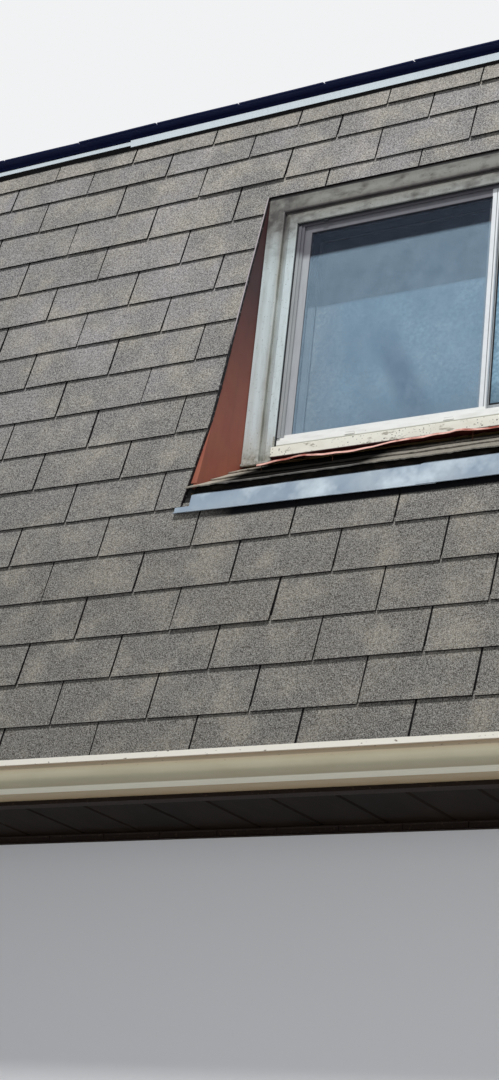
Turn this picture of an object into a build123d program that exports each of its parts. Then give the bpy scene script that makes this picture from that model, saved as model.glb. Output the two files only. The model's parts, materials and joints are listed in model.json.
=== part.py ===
from build123d import *
import math
import os

# Inset dormer window in a mansard roof slope.
# One bay of the roof: the steep shingled slope over a stud wall, the window set
# back in it behind sheet-metal cheeks and a sloping ledge, and the eave below
# with its fascia, gutter and soffit.
# X runs along the wall, -Y looks out, +Z is up. The origin is in the middle of
# the bay, on the underside of the wall plate, half way through the stud wall.

# Driving dimensions of the bay
bay_length = 4500.0
slope_lean = 11.5            # degrees back from vertical
eave_height = 120.0          # underside of the slope boards above the wall plate's seat
board_thickness = 12.5
stud_depth = 89.0
sheathing = 12.5
drywall = 12.5
plate_thickness = 38.0
plate_reach = 102.5          # wall plate in front of the sheathing
end_panel_thickness = 18.0

# Driving dimensions of the shingle courses
course_exposure = 142.9
full_courses = 15
upper_course_exposure = 134.7
top_course_exposure = 102.4
last_course_exposure = 108.4
butt_thickness = 9.0         # build-up at the lower edge of a course
tail_thickness = 4.0         # build-up just below the next course
eave_overhang = 12.0
shingle_top_gap = 2.0

# Driving dimensions of the recess
casing_opening_width = 1394.0
casing_opening_height = 785.0
casing_width = 113.0
casing_thickness = 32.5
head_in_courses = 14.5       # lower edge of the shingles over the window, in courses
head_proud = 6.4             # shingle face in front of the casing at the head
cheek_thickness = 12.0
cheek_flare = 30.0           # how far the shingle edge leaves the cheek at its foot
flare_courses = 2.2
ledge_pitch = 33.0
ledge_shingle_stack = 14.0
ledge_shingle_rows = 3
ledge_board_thickness = 13.5
sill_above_ledge = 11.4      # underside of the sill's nose above the ledge at the casing

# Driving dimensions of the sheet metal
sheet = 2.0
drip_face = 65.0
drip_proud = 6.0             # drip flashing in front of the shingle faces
drip_flange = 70.0
drip_kick = 8.0
drip_side_lap = 46.0         # drip flashing runs on under the side shingles
drip_lap_from_centre = 15.0
drip_lap = 60.0
drip_under_courses = 20.0     # side courses start at least this far above its lower edge
lap_gap = 0.2
seat_gap = 0.3
cut_margin = 1.0             # how far a cutting shape runs past what it cuts
apron_flange = 62.0
apron_upstand = 9.0
top_strip_face_left = 17.0   # metal strip below the underside of the roof deck
top_strip_face_right = 28.0
top_strip_flange = 50.0
top_strip_joint = -1464.0    # where its two lengths meet
top_strip_lap = 40.0

# Driving dimensions of the window
frame_depth = 108.0
frame_setback = 9.5          # frame face behind the casing face
frame_cover = 12.0           # frame hidden behind the casing
frame_jamb_sight = 24.0
frame_head_sight = 10.0
frame_sill_height = 28.0
track_depth = 10.0
sill_track_depth = 10.0
front_fin = 10.0
front_step_width = 9.0       # step along the inner edge of the frame's face
front_step_depth = 5.0
screen_track = 14.0
screen_fin = 8.0
sash_track = 28.0
sash_fin = 6.0
track_clearance = 2.0
sash_thickness = 24.0
sash_stile = 38.0
sash_rail = 40.0
sash_overlap = 62.0
glass_thickness = 6.0
glass_bite = 10.0
sash_step = 6.0              # rebate round the pane on the weather side
screen_step = 3.0
screen_thickness = 10.0
screen_bar = 32.0
screen_past_centre = 8.0
mesh_thickness = 1.0
screen_bite = 11.0
shim_gap = 3.0
sill_nose = 12.0
sill_face = 34.0
sill_fall = 12.0
sill_gap = 6.0
liner_thickness = 14.0
inner_casing_width = 70.0
inner_casing_thickness = 14.0
inner_casing_reveal = 5.0

# Driving dimensions of the eave
fascia_thickness = 38.0
fascia_setback = 5.0
soffit_height = 24.0
soffit_thickness = 12.0
soffit_groove_pitch = 202.0
soffit_groove_shift = 52.0   # the grooves' pattern right of the middle
soffit_groove_width = 14.0
soffit_groove_depth = 5.0
soffit_channel_lip = 12.0
gutter_width = 112.0
gutter_height = 88.0
gutter_clearance = 36.0      # underside of the gutter above the seat
gutter_sheet = 2.5
gutter_floor = 66.0
gutter_lip = 16.0
gutter_lip_step = 6.0        # the front lies this far behind the lip
gutter_return = 12.0
gutter_bead = 12.0
gutter_bead_step = 3.0
gutter_cove = 26.0           # reach of the curve over the bead
gutter_curve = 40.0          # reach of the curve under the lip
gutter_cap = 3.0
shingle_gutter_gap = 5.0
hanger_pitch = 600.0
hanger_width = 25.0
hanger_thickness = 3.0
hanger_nose_gap = 1.0

# Driving dimensions of the roof edge
roof_pitch = 9.5
deck_thickness = 16.0
edge_shingle_overhang = 52.0
edge_shingle_thickness = 9.0

os.makedirs("parts", exist_ok=True)

lean = math.radians(slope_lean)
half_bay = bay_length / 2
wall_front = -stud_depth / 2 - sheathing
wall_back = stud_depth / 2 + drywall
casing_front = wall_front - casing_thickness
frame_front = casing_front + frame_setback
frame_back = frame_front + frame_depth

head_s = head_in_courses * course_exposure
eave_y = (casing_front - head_proud - head_s * math.sin(lean)
          + butt_thickness * math.cos(lean))


def on_slope(s, off=0.0):
    """(y, z) of a point s up the slope from the eave and off out from the boards."""
    return (eave_y + s * math.sin(lean) - off * math.cos(lean),
            eave_height + s * math.cos(lean) + off * math.sin(lean))


def slope_at_height(z, off=0.0):
    """Distance up the slope at which a face off out from the boards is at height z."""
    return (z - eave_height - off * math.sin(lean)) / math.cos(lean)


def bar(points, x_from, x_to):
    """A section of (y, z) points, run along X."""
    section = make_face(Polyline(*points, close=True))
    return extrude(Plane.YZ.offset(x_from) * section, amount=x_to - x_from)


def block(x_from, x_to, y_from, y_to, z_from, z_to):
    """A plain board or slab between its faces."""
    return bar([(y_from, z_from), (y_to, z_from), (y_to, z_to), (y_from, z_to)], x_from, x_to)


def bent_sheet(points, thickness, x_from, x_to):
    """A bent sheet along X; its thickness lies on the left of the (y, z) line."""
    line = [Vector(y, z) for y, z in points]
    sides = [(b - a).normalized().rotate(Axis.Z, 90) for a, b in zip(line, line[1:])]
    inner = [line[0] + sides[0] * thickness]
    for corner, before, after in zip(line[1:-1], sides, sides[1:]):
        half = (before + after).normalized()
        inner.append(corner + half * (thickness / half.dot(before)))
    inner.append(line[-1] + sides[-1] * thickness)
    return bar([(p.X, p.Y) for p in line + inner[::-1]], x_from, x_to)


def write(solid, name):
    """One STEP file for one named piece."""
    solid.label = name
    export_step(solid, "parts/" + name + ".step")


# Courses: the stations of the course lines, from the eave up
course_lines = [-eave_overhang] + [n * course_exposure for n in range(1, full_courses + 1)]
upper_line = course_lines[-1] + upper_course_exposure
top_line = upper_line + top_course_exposure
slope_top = top_line + last_course_exposure
course_lines = course_lines + [upper_line, top_line, slope_top - shingle_top_gap]
recess_head_course = math.ceil(head_in_courses)

half_recess = casing_opening_width / 2 + casing_width
half_opening = casing_opening_width / 2
head_z = on_slope(head_s)[1]
opening_top = head_z - casing_width
opening_bottom = opening_top - casing_opening_height
ledge_at_casing = opening_bottom - sill_fall - sill_face - sill_above_ledge


def ledge_z(y, depth=0.0):
    """Height of the ledge at y, depth below its top face, measured square to it."""
    pitch = math.radians(ledge_pitch)
    return ledge_at_casing + (y - casing_front) * math.tan(pitch) - depth / math.cos(pitch)


def ledge_meets_slope(off, depth):
    """(y, z) where a plane of the ledge crosses a plane of the slope."""
    pitch = math.radians(ledge_pitch)
    y0, z0 = on_slope(0.0, off)
    rise = ledge_z(y0, depth) - z0
    s = rise / (math.cos(lean) - math.sin(lean) * math.tan(pitch))
    return on_slope(s, off)


# Eave: fascia, soffit, gutter with its caps and hangers
fascia_front = eave_y + fascia_setback
fascia_back = fascia_front + fascia_thickness
plate_front = wall_front - plate_reach

write(block(-half_bay, half_bay, fascia_front, fascia_back, soffit_height, eave_height),
      "fascia_board")
write(block(-half_bay, half_bay, plate_front, wall_back, 0, plate_thickness), "wall_plate")


def soffit_section():
    """Underside of the soffit panels seen from the front, with its V grooves."""
    grooves = int(bay_length / soffit_groove_pitch)
    start = soffit_groove_shift - (grooves // 2) * soffit_groove_pitch
    points = [(-half_bay, soffit_height + soffit_thickness), (-half_bay, soffit_height)]
    for n in range(grooves):
        x = start + n * soffit_groove_pitch
        points.append((x - soffit_groove_width / 2, soffit_height))
        points.append((x, soffit_height + soffit_groove_depth))
        points.append((x + soffit_groove_width / 2, soffit_height))
    points.append((half_bay, soffit_height))
    points.append((half_bay, soffit_height + soffit_thickness))
    return make_face(Polyline(*points, close=True))


soffit_depth = plate_front - fascia_back
soffit = extrude(Plane.XZ.offset(-plate_front) * soffit_section(), amount=soffit_depth)
channel = bar([(plate_front, soffit_height), (plate_front, soffit_height - sheet),
               (plate_front - soffit_channel_lip, soffit_height - sheet),
               (plate_front - soffit_channel_lip, soffit_height)], -half_bay, half_bay)
write(soffit + channel, "soffit_panels")

gutter_bottom = gutter_clearance
gutter_top = gutter_bottom + gutter_height
gutter_back_top = eave_height - sheet


def gutter_line(inset):
    """Line of the gutter from its back edge round to its rolled lip, inset from the outside."""
    y_back = fascia_front - inset
    y_floor = fascia_front - gutter_floor + inset
    y_bead = y_floor - gutter_bead_step
    y_front = fascia_front - gutter_width + inset
    z_floor = gutter_bottom + inset
    z_bead = gutter_bottom + gutter_bead
    z_top = gutter_top - inset
    y_under_lip = y_front + gutter_lip_step
    z_lip = gutter_top - gutter_lip + inset
    foot = Polyline((y_back, gutter_back_top), (y_back, z_floor), (y_floor, z_floor), (y_bead, z_bead))
    swell = Bezier((y_bead, z_bead), (y_bead - gutter_cove, z_bead),
                   (y_under_lip, z_lip - gutter_curve), (y_under_lip, z_lip))
    lip = Polyline((y_under_lip, z_lip), (y_front, z_lip), (y_front, z_top),
                   (fascia_front - gutter_width + gutter_return, z_top))
    return foot + swell + lip


def gutter_shell():
    """Bent gutter sheet along the eave."""
    outside = gutter_line(0.0)
    inside = gutter_line(gutter_sheet)
    ends = Line(outside @ 0, inside @ 0) + Line(outside @ 1, inside @ 1)
    section = make_face((outside + inside + ends).edges())
    return extrude(Plane.YZ.offset(-gutter_run) * section, amount=2 * gutter_run)


def gutter_cap_plate(x_from):
    """Flat cap that closes one end of the gutter, cut down under the shingles."""
    tip_y, tip_z = on_slope(-eave_overhang, butt_thickness)
    cut_z = tip_z - shingle_gutter_gap
    outside = gutter_line(0.0)
    whole = make_face((outside + Line(outside @ 1, outside @ 0)).edges())
    above = make_face(Polyline(outside @ 1, (tip_y - shingle_gutter_gap, cut_z),
                               (fascia_front, cut_z), (fascia_front, gutter_top + gutter_lip),
                               (fascia_front - gutter_width, gutter_top + gutter_lip), close=True))
    return extrude(Plane.YZ.offset(x_from) * (whole - above), amount=gutter_cap)


gutter_run = half_bay - gutter_cap
write(gutter_shell(), "gutter")
write(gutter_cap_plate(-half_bay) + gutter_cap_plate(gutter_run), "gutter_end_caps")

hanger_count = int(2 * gutter_run / hanger_pitch)
hanger_top = on_slope(-eave_overhang, butt_thickness)[1] - shingle_gutter_gap
hangers = []
for n in range(hanger_count):
    x = (n - (hanger_count - 1) / 2) * hanger_pitch
    hangers.append(block(x - hanger_width / 2, x + hanger_width / 2,
                         fascia_front - gutter_width + gutter_lip_step + gutter_sheet
                         + hanger_nose_gap,
                         fascia_front - gutter_sheet,
                         hanger_top - hanger_thickness, hanger_top))
write(Compound(children=hangers), "gutter_hangers")


def slope_board(x_from, x_to, bottom, top):
    """Sheathing board on the slope; bottom and top are (y, z) pairs, outer point first."""
    return bar([bottom[0], bottom[1], top[1], top[0]], x_from, x_to)


def level_cut(z):
    """Outer and inner corner of a slope board cut level at height z."""
    return (on_slope(slope_at_height(z)), on_slope(slope_at_height(z, -board_thickness),
                                                    -board_thickness))


def square_cut(s):
    """Outer and inner corner of a slope board cut square at s."""
    return (on_slope(s), on_slope(s, -board_thickness))


board_edge = half_recess + cheek_thickness
drip_seat = ledge_shingle_stack + ledge_board_thickness
lap_step = sheet + lap_gap
recess_foot_course = math.floor(slope_at_height(ledge_meets_slope(0.0, drip_seat)[1])
                                / course_exposure)
drip_off = butt_thickness + drip_proud
drip_top_s = slope_at_height(ledge_meets_slope(drip_off, drip_seat)[1], drip_off)
drip_foot_s = drip_top_s - drip_face
recess_foot_s = max(course_lines[recess_foot_course], drip_foot_s + drip_under_courses)
ledge_cut = (ledge_meets_slope(0.0, drip_seat + sheet + lap_step),
             ledge_meets_slope(-board_thickness, drip_seat + sheet + lap_step))
write(slope_board(-half_bay, -board_edge, level_cut(eave_height), square_cut(slope_top)),
      "slope_board_left")
write(slope_board(board_edge, half_bay, level_cut(eave_height), square_cut(slope_top)),
      "slope_board_right")
write(slope_board(-board_edge, board_edge, level_cut(head_z), square_cut(slope_top)),
      "slope_board_upper")
write(slope_board(-board_edge, board_edge, level_cut(eave_height), ledge_cut),
      "slope_board_lower")


def course_section(lines):
    """Stepped section of the shingle courses between the given course lines."""
    points = [on_slope(lines[0])]
    for lower, upper in zip(lines, lines[1:]):
        points.append(on_slope(lower, butt_thickness))
        points.append(on_slope(upper, tail_thickness))
    points.append(on_slope(lines[-1]))
    return points


def flare(side, thickness):
    """The narrow triangle between a cheek and the shingles that run out from it at the foot."""
    slope = Plane(origin=(0, eave_y, eave_height), x_dir=(1, 0, 0),
                  z_dir=(0, -math.cos(lean), math.sin(lean)))
    wedge = make_face(Polyline((side * half_recess, recess_foot_s + flare_courses * course_exposure),
                               (side * (half_recess + cheek_flare), recess_foot_s),
                               (side * half_recess, recess_foot_s), close=True))
    return extrude(slope * wedge, amount=thickness)


def side_shingles(side):
    """Courses beside the recess; their inner edge runs out from the cheek at the foot."""
    lines = [recess_foot_s] + course_lines[recess_foot_course + 1:recess_head_course + 1]
    x_from, x_to = sorted((side * half_recess, side * half_bay))
    return bar(course_section(lines), x_from, x_to) - flare(side, 2 * butt_thickness)


write(side_shingles(-1), "shingles_left")
write(side_shingles(1), "shingles_right")
over_window = bar(course_section([head_s, course_lines[recess_head_course]]),
                  -half_recess, half_recess)
write(bar(course_section(course_lines[recess_head_course:]), -half_bay, half_bay) + over_window,
      "shingles_upper")

lower_lines = course_lines[:recess_foot_course + 1]
if recess_foot_s > lower_lines[-1]:
    lower_lines.append(recess_foot_s)
write(bar(course_section(lower_lines), -half_bay, half_bay), "shingles_lower")


def cheek(side):
    """Triangular side wall of the recess, its sheet folded out over the boards above the ledge."""
    x_from, x_to = sorted((side * half_recess, side * board_edge))
    head = on_slope(head_s)
    foot = ledge_meets_slope(0.0, drip_seat)
    back_foot = (wall_front, ledge_z(wall_front, drip_seat))
    back_head = (wall_front, head[1])
    ledge_edge_z = ledge_meets_slope(sheet, 0.0)[1]
    flange = flare(side, sheet) - block(-half_bay, half_bay, eave_y, wall_front, 0, ledge_edge_z)
    return bar([foot, back_foot, back_head, head], x_from, x_to) + flange


write(cheek(-1), "cheek_left")
write(cheek(1), "cheek_right")

ledge_front_top = ledge_meets_slope(0.0, ledge_shingle_stack)
ledge_front_bottom = ledge_meets_slope(0.0, drip_seat)
write(bar([ledge_front_top, ledge_front_bottom,
           (wall_front, ledge_z(wall_front, drip_seat)),
           (wall_front, ledge_z(wall_front, ledge_shingle_stack))], -half_recess, half_recess),
      "ledge_board")


def ledge_shingles():
    """Strips of shingle lapped up the ledge, each thinner towards its top."""
    pitch = math.radians(ledge_pitch)
    front_y, front_z = ledge_meets_slope(butt_thickness, ledge_shingle_stack)
    run = (wall_front - front_y) / math.cos(pitch)
    points = [(front_y, front_z)]
    for n in range(ledge_shingle_rows):
        lower = run * n / ledge_shingle_rows
        upper = run * (n + 1) / ledge_shingle_rows
        for along, thickness in ((lower, ledge_shingle_stack), (upper, 0.6 * ledge_shingle_stack)):
            points.append((front_y + along * math.cos(pitch) - thickness * math.sin(pitch),
                           front_z + along * math.sin(pitch) + thickness * math.cos(pitch)))
    points.append((wall_front, ledge_z(wall_front, ledge_shingle_stack)))
    return bar(points, -half_recess, half_recess)


write(ledge_shingles(), "ledge_shingles")


def drip_flashing(x_from, x_to, end_x, layer):
    """Bent flashing over the shingles below the ledge, with a narrow end under the side courses."""
    off = drip_off + layer * lap_step
    depth = drip_seat + (1 - layer) * lap_step
    top = ledge_meets_slope(off, depth)
    top_s = slope_at_height(top[1], off)
    bottom = on_slope(top_s - drip_face, off)
    kick = on_slope(top_s - drip_face - drip_kick, off + drip_kick)
    inner_y = top[0] + drip_flange
    body = bent_sheet([(inner_y, ledge_z(inner_y, depth)), top, bottom, kick], sheet, x_from, x_to)
    end_from, end_to = sorted((end_x, x_from if end_x < x_from else x_to))
    end_top = on_slope(recess_foot_s - sheet, off)
    return body + bent_sheet([end_top, bottom, kick], sheet, end_from, end_to)


drip_end = half_recess + drip_side_lap
drip_body = half_recess - shim_gap
write(drip_flashing(-drip_body, drip_lap_from_centre, -drip_end, 0), "drip_flashing_left")
write(drip_flashing(drip_lap_from_centre - drip_lap, drip_body, drip_end, 1),
      "drip_flashing_right")


# Window surround: moulded casing, mitred at the head, standing on the ledge
def casing_section():
    """(out from the opening, forward of the wall) points of the moulded casing."""
    width, depth = casing_width, casing_thickness
    rebate = wall_front - frame_front
    return [(frame_cover, 0), (frame_cover, rebate), (0, rebate), (0, 0.86 * depth),
            (0.02 * width, 0.9 * depth), (0.25 * width, 0.9 * depth), (0.28 * width, 0.82 * depth),
            (0.4 * width, 0.66 * depth), (0.45 * width, 0.62 * depth), (0.45 * width, 0.94 * depth),
            (0.49 * width, depth), (0.97 * width, depth), (width, 0.9 * depth), (width, 0)]


def mitre(side):
    """Everything above the mitre line on one side of the window."""
    inner = (side * half_opening, opening_top)
    outer = (side * half_recess, head_z)
    beyond = (side * (half_recess + casing_width), head_z + casing_width)
    far = (side * half_opening, head_z + casing_width)
    face = make_face(Polyline(inner, outer, beyond, far, close=True))
    return extrude(Plane.XZ.offset(-wall_front - cut_margin) * face,
                   amount=casing_thickness + 2 * cut_margin)


def casing_leg(side):
    """Side casing from the ledge up to the mitre."""
    points = [(side * (half_opening + out), wall_front - forward) for out, forward in casing_section()]
    low = ledge_at_casing - casing_width
    leg = extrude(Plane.XY.offset(low) * make_face(Polyline(*points, close=True)),
                  amount=head_z - low)
    outer_y, inner_y = casing_front - cut_margin, wall_front + cut_margin
    below = bar([(outer_y, ledge_z(outer_y)), (inner_y, ledge_z(inner_y)),
                 (inner_y, low - cut_margin), (outer_y, low - cut_margin)], -half_bay, half_bay)
    return leg - mitre(side) - below


def casing_head():
    """Head casing between the two mitres."""
    points = [(wall_front - forward, opening_top + out) for out, forward in casing_section()]
    head = bar(points, -half_recess, half_recess)
    for side in (-1, 1):
        inner = (side * half_opening, opening_top)
        outer = (side * half_recess, head_z)
        corner = (side * half_recess, opening_top)
        off_cut = make_face(Polyline(inner, outer, corner, close=True))
        head -= extrude(Plane.XZ.offset(-wall_front - cut_margin) * off_cut,
                        amount=casing_thickness + 2 * cut_margin)
    return head


write(casing_leg(-1), "casing_left")
write(casing_leg(1), "casing_right")
write(casing_head(), "casing_head")

nose_y = casing_front - sill_nose
write(bar([(wall_front, opening_bottom), (frame_front, opening_bottom),
           (nose_y, opening_bottom - sill_fall), (nose_y, opening_bottom - sill_fall - sill_face),
           (casing_front, ledge_z(casing_front) + sill_gap),
           (wall_front, ledge_z(wall_front) + sill_gap)], -half_opening, half_opening),
      "window_sill")

apron_front = nose_y - apron_flange
apron_back = wall_front - 2 * sheet
apron_lift = sheet + 2 * seat_gap
write(bent_sheet([(apron_back, ledge_z(apron_back) + apron_lift),
                  (apron_front, ledge_z(apron_front) + apron_lift),
                  (apron_front, ledge_z(apron_front) + apron_upstand)],
                 sheet, -half_opening, half_opening), "sill_flashing")

# Window frame: head, sill and jambs with a screen track and two sash tracks
track_stations = []
station = frame_front
for fin, track in ((front_fin, screen_track), (screen_fin, sash_track), (sash_fin, sash_track)):
    station += fin
    track_stations.append((station, station + track))
    station += track

frame_bottom = opening_bottom
frame_top = opening_top + frame_cover
frame_half = half_opening + frame_cover
jamb_inner = half_opening - frame_jamb_sight
head_inner = opening_top - frame_head_sight
sill_inner = frame_bottom + frame_sill_height


def track_section(outer, inner, depth):
    """(y, height) points of a frame member, its tracks cut down from the inner face."""
    toward = 1 if inner > outer else -1
    points = [(frame_front, outer), (frame_back, outer), (frame_back, inner)]
    for low, high in reversed(track_stations):
        points += [(high, inner), (high, inner - toward * depth),
                   (low, inner - toward * depth), (low, inner)]
    return points + [(frame_front + front_step_depth, inner),
                     (frame_front + front_step_depth, inner - toward * front_step_width),
                     (frame_front, inner - toward * front_step_width)]


write(bar(track_section(frame_bottom, sill_inner, sill_track_depth), -frame_half, frame_half),
      "frame_sill")
write(bar(track_section(frame_top, head_inner, track_depth), -frame_half, frame_half), "frame_head")
for side, name in ((-1, "frame_jamb_left"), (1, "frame_jamb_right")):
    points = [(x, y) for y, x in track_section(side * frame_half, side * jamb_inner, track_depth)]
    jamb = extrude(Plane.XY.offset(sill_inner) * make_face(Polyline(*points, close=True)),
                   amount=head_inner - sill_inner)
    write(jamb, name)

# Sashes, glass and insect screen
sash_low = sill_inner - sill_track_depth
sash_high = head_inner + track_depth - track_clearance
sash_reach = jamb_inner + track_depth - track_clearance


def framed_panel(x_from, x_to, track, thickness, stile, rail, step, pane, bite):
    """A four-sided frame in its track, and the pane that it holds."""
    y_middle = sum(track_stations[track]) / 2
    y_from, y_to = y_middle - thickness / 2, y_middle + thickness / 2
    ring = block(x_from, x_to, y_from, y_to, sash_low, sash_high)
    ring -= block(x_from + stile, x_to - stile, y_from, y_to, sash_low + rail, sash_high - rail)
    ring -= block(x_from + stile - step, x_to - stile + step, y_from, y_from + step,
                  sash_low + rail - step, sash_high - rail + step)
    held = block(x_from + stile - bite, x_to - stile + bite, y_middle - pane / 2,
                 y_middle + pane / 2, sash_low + rail - bite, sash_high - rail + bite)
    return ring - held, held


left_ring, left_glass = framed_panel(-sash_reach, sash_overlap / 2, 2, sash_thickness,
                                     sash_stile, sash_rail, sash_step, glass_thickness,
                                     glass_bite)
right_ring, right_glass = framed_panel(-sash_overlap / 2, sash_reach, 1, sash_thickness,
                                       sash_stile, sash_rail, sash_step, glass_thickness,
                                       glass_bite)
screen_ring, screen_mesh = framed_panel(-sash_reach, screen_past_centre, 0, screen_thickness,
                                        screen_bar, screen_bar, screen_step, mesh_thickness,
                                        screen_bite)
write(left_ring, "sash_left")
write(left_glass, "glass_left")
write(right_ring, "sash_right")
write(right_glass, "glass_right")
write(screen_ring, "screen_frame")
write(screen_mesh, "screen_mesh")

# Room side: liner from the frame to the wall face, and a plain casing round it
liner_inner_half = jamb_inner + liner_thickness / 2
liner_inner_low = sill_inner - liner_thickness / 2
liner_inner_high = head_inner + liner_thickness / 2
liner = block(-frame_half, frame_half, frame_back, wall_back, frame_bottom, frame_top)
liner -= block(-liner_inner_half, liner_inner_half, frame_back, wall_back,
               liner_inner_low, liner_inner_high)
write(liner, "jamb_liner")

trim_half = liner_inner_half + inner_casing_reveal
trim_low = liner_inner_low - inner_casing_reveal
trim_high = liner_inner_high + inner_casing_reveal
trim_face = wall_back + inner_casing_thickness
trim = block(-trim_half - inner_casing_width, trim_half + inner_casing_width, wall_back, trim_face,
             trim_low - inner_casing_width, trim_high + inner_casing_width)
trim = chamfer(trim.faces().sort_by(Axis.Y)[-1].edges(), inner_casing_thickness / 3)
trim -= block(-trim_half, trim_half, wall_back, trim_face, trim_low, trim_high)
write(trim, "inner_casing")

# Stud wall in four pieces round the window, its top cut under the slope and the roof deck
roof_rise = math.tan(math.radians(roof_pitch))
deck_y, deck_z = on_slope(slope_top)


def deck_underside(y):
    """Height of the underside of the roof deck."""
    return deck_z + (y - deck_y) * roof_rise


slope_back_top = on_slope(slope_top, -board_thickness)
wall_lean_s = ((wall_front - eave_y - board_thickness * math.cos(lean)) / math.sin(lean))
wall_lean_start = on_slope(wall_lean_s, -board_thickness)
slope_back_meets_deck = (slope_back_top[0], deck_underside(slope_back_top[0]))
wall_top = [(wall_back, deck_underside(wall_back)), slope_back_meets_deck, slope_back_top,
            wall_lean_start]
hole_half = frame_half + shim_gap
hole_top = frame_top + shim_gap


def wall_piece(x_from, x_to, z_from):
    """Stud wall with its boards, from a height up to the roof."""
    return bar([(wall_front, z_from), (wall_back, z_from)] + wall_top, x_from, x_to)


write(wall_piece(-half_bay, -hole_half, plate_thickness), "wall_left")
write(wall_piece(hole_half, half_bay, plate_thickness), "wall_right")
write(wall_piece(-hole_half, hole_half, hole_top), "wall_above")
write(block(-hole_half, hole_half, wall_front, wall_back, plate_thickness, frame_bottom),
      "wall_below")

# Roof edge: deck strip, metal strip over the top course, and the overhanging shingles
deck_front = deck_y - tail_thickness * math.cos(lean)
write(bar([(deck_front, deck_underside(deck_front)), (wall_back, deck_underside(wall_back)),
           (wall_back, deck_underside(wall_back) + deck_thickness),
           (deck_front, deck_underside(deck_front) + deck_thickness)], -half_bay, half_bay),
      "roof_deck")


def deck_top(y, above=0.0):
    """Height at y of a face that lies above the top of the roof deck, measured square to it."""
    return deck_underside(y) + deck_thickness + above / math.cos(math.radians(roof_pitch))


strip_nose_y = deck_front - sheet - seat_gap
strip_lift = sheet + seat_gap


def top_strip(x_from, x_to, face, layer):
    """One length of the bent metal strip; layer 1 laps over layer 0."""
    nose_y = strip_nose_y - layer * lap_step
    flange_y = nose_y + top_strip_flange
    lift = strip_lift + layer * lap_step
    foot = on_slope(slope_top - face, butt_thickness + sheet + layer * lap_step)
    return bent_sheet([(flange_y, deck_top(flange_y, lift)), (nose_y, deck_top(nose_y, lift)), foot],
                      sheet, x_from, x_to)


write(Compound(children=[top_strip(-half_bay, top_strip_joint + top_strip_lap, top_strip_face_left, 0),
                         top_strip(top_strip_joint, half_bay, top_strip_face_right, 1)]), "top_strip")

edge_front = strip_nose_y - edge_shingle_overhang
edge_low = strip_lift + lap_step + seat_gap
edge_high = edge_low + edge_shingle_thickness
write(bar([(edge_front, deck_top(edge_front, edge_low)), (wall_back, deck_top(wall_back, edge_low)),
           (wall_back, deck_top(wall_back, edge_high)),
           (edge_front, deck_top(edge_front, edge_high))], -half_bay, half_bay), "edge_shingles")


def end_panel(x_from):
    """Closing panel between the slope boards and the wall at one end of the bay."""
    low = soffit_height + soffit_thickness
    points = [(fascia_back, low), (plate_front, low), (plate_front, plate_thickness),
              (wall_front, plate_thickness), wall_lean_start,
              on_slope(slope_at_height(eave_height, -board_thickness), -board_thickness),
              (fascia_back, eave_height)]
    return bar(points, x_from, x_from + end_panel_thickness)


write(end_panel(-half_bay), "end_panel_left")
write(end_panel(half_bay - end_panel_thickness), "end_panel_right")
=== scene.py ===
import json
import math
import random

import bmesh
import bpy
from mathutils import Matrix, Vector


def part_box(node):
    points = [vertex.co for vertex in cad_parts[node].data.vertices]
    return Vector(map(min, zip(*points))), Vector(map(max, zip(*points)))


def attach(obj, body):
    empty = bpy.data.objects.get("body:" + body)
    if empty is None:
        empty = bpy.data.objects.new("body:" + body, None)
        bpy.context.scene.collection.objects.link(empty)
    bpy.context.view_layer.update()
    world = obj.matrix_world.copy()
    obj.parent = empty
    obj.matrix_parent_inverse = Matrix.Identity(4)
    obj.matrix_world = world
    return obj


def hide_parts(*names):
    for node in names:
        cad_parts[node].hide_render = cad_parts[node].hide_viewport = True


bl_info = {
    "name": "Mansard window bay",
    "version": (1, 0, 0),
    "blender": (4, 5, 0),
    "location": "View3D > Sidebar > Mansard",
    "description": "Shingle tabs, flashings, weathered paint and glass round the packed bay",
    "category": "Object",
}

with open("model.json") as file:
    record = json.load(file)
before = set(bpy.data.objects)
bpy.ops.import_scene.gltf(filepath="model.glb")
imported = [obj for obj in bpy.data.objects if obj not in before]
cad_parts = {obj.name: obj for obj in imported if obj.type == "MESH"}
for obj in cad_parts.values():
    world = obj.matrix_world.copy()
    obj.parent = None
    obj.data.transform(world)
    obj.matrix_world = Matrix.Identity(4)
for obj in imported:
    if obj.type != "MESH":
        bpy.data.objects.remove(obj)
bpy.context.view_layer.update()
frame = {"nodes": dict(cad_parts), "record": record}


def low(name):
    """Lowest corner of a node of the bay."""
    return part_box(name)[0]


def high(name):
    """Highest corner of a node of the bay."""
    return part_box(name)[1]


def moved(x, y, z):
    """A placing that only moves."""
    return Matrix.Translation((x, y, z))


def turned(angle, axis):
    """A placing that only turns."""
    return Matrix.Rotation(angle, 4, axis)


# Places read from the bay, in metres
LEAN = math.radians(11.5)
HALF_BAY = high("wall_plate").x
EAVE = Vector((0, low("slope_board_left").y, low("slope_board_left").z))
SLOPE = moved(*EAVE) @ turned(math.pi / 2 - LEAN, "X")
OUTWARD = Vector((0, -math.cos(LEAN), math.sin(LEAN)))
HALF_RECESS = high("ledge_board").x
HALF_OPENING = high("window_sill").x
OPENING_TOP = low("casing_head").z
OPENING_BOTTOM = high("window_sill").z
FULL_COURSES = 15
FIRST_LINE = -0.012
UPPER_EXPOSURE = 0.1347
TOP_EXPOSURE = 0.1024
LAST_EXPOSURE = 0.1084
SLOT_START = -1.6   # a slot of the even courses
NEAR = 1e-4         # how close a point lies to the line that it is on
SHADOW_EDGE = (1.768, 1.756)   # heights at which the painted shadow on the panes ends; below them the dust shows as lit haze


def up_slope(z, off=0.0):
    """Distance up the slope at which a face off out from its boards reaches a height."""
    return (z - EAVE.z - off * math.sin(LEAN)) / math.cos(LEAN)


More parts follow.
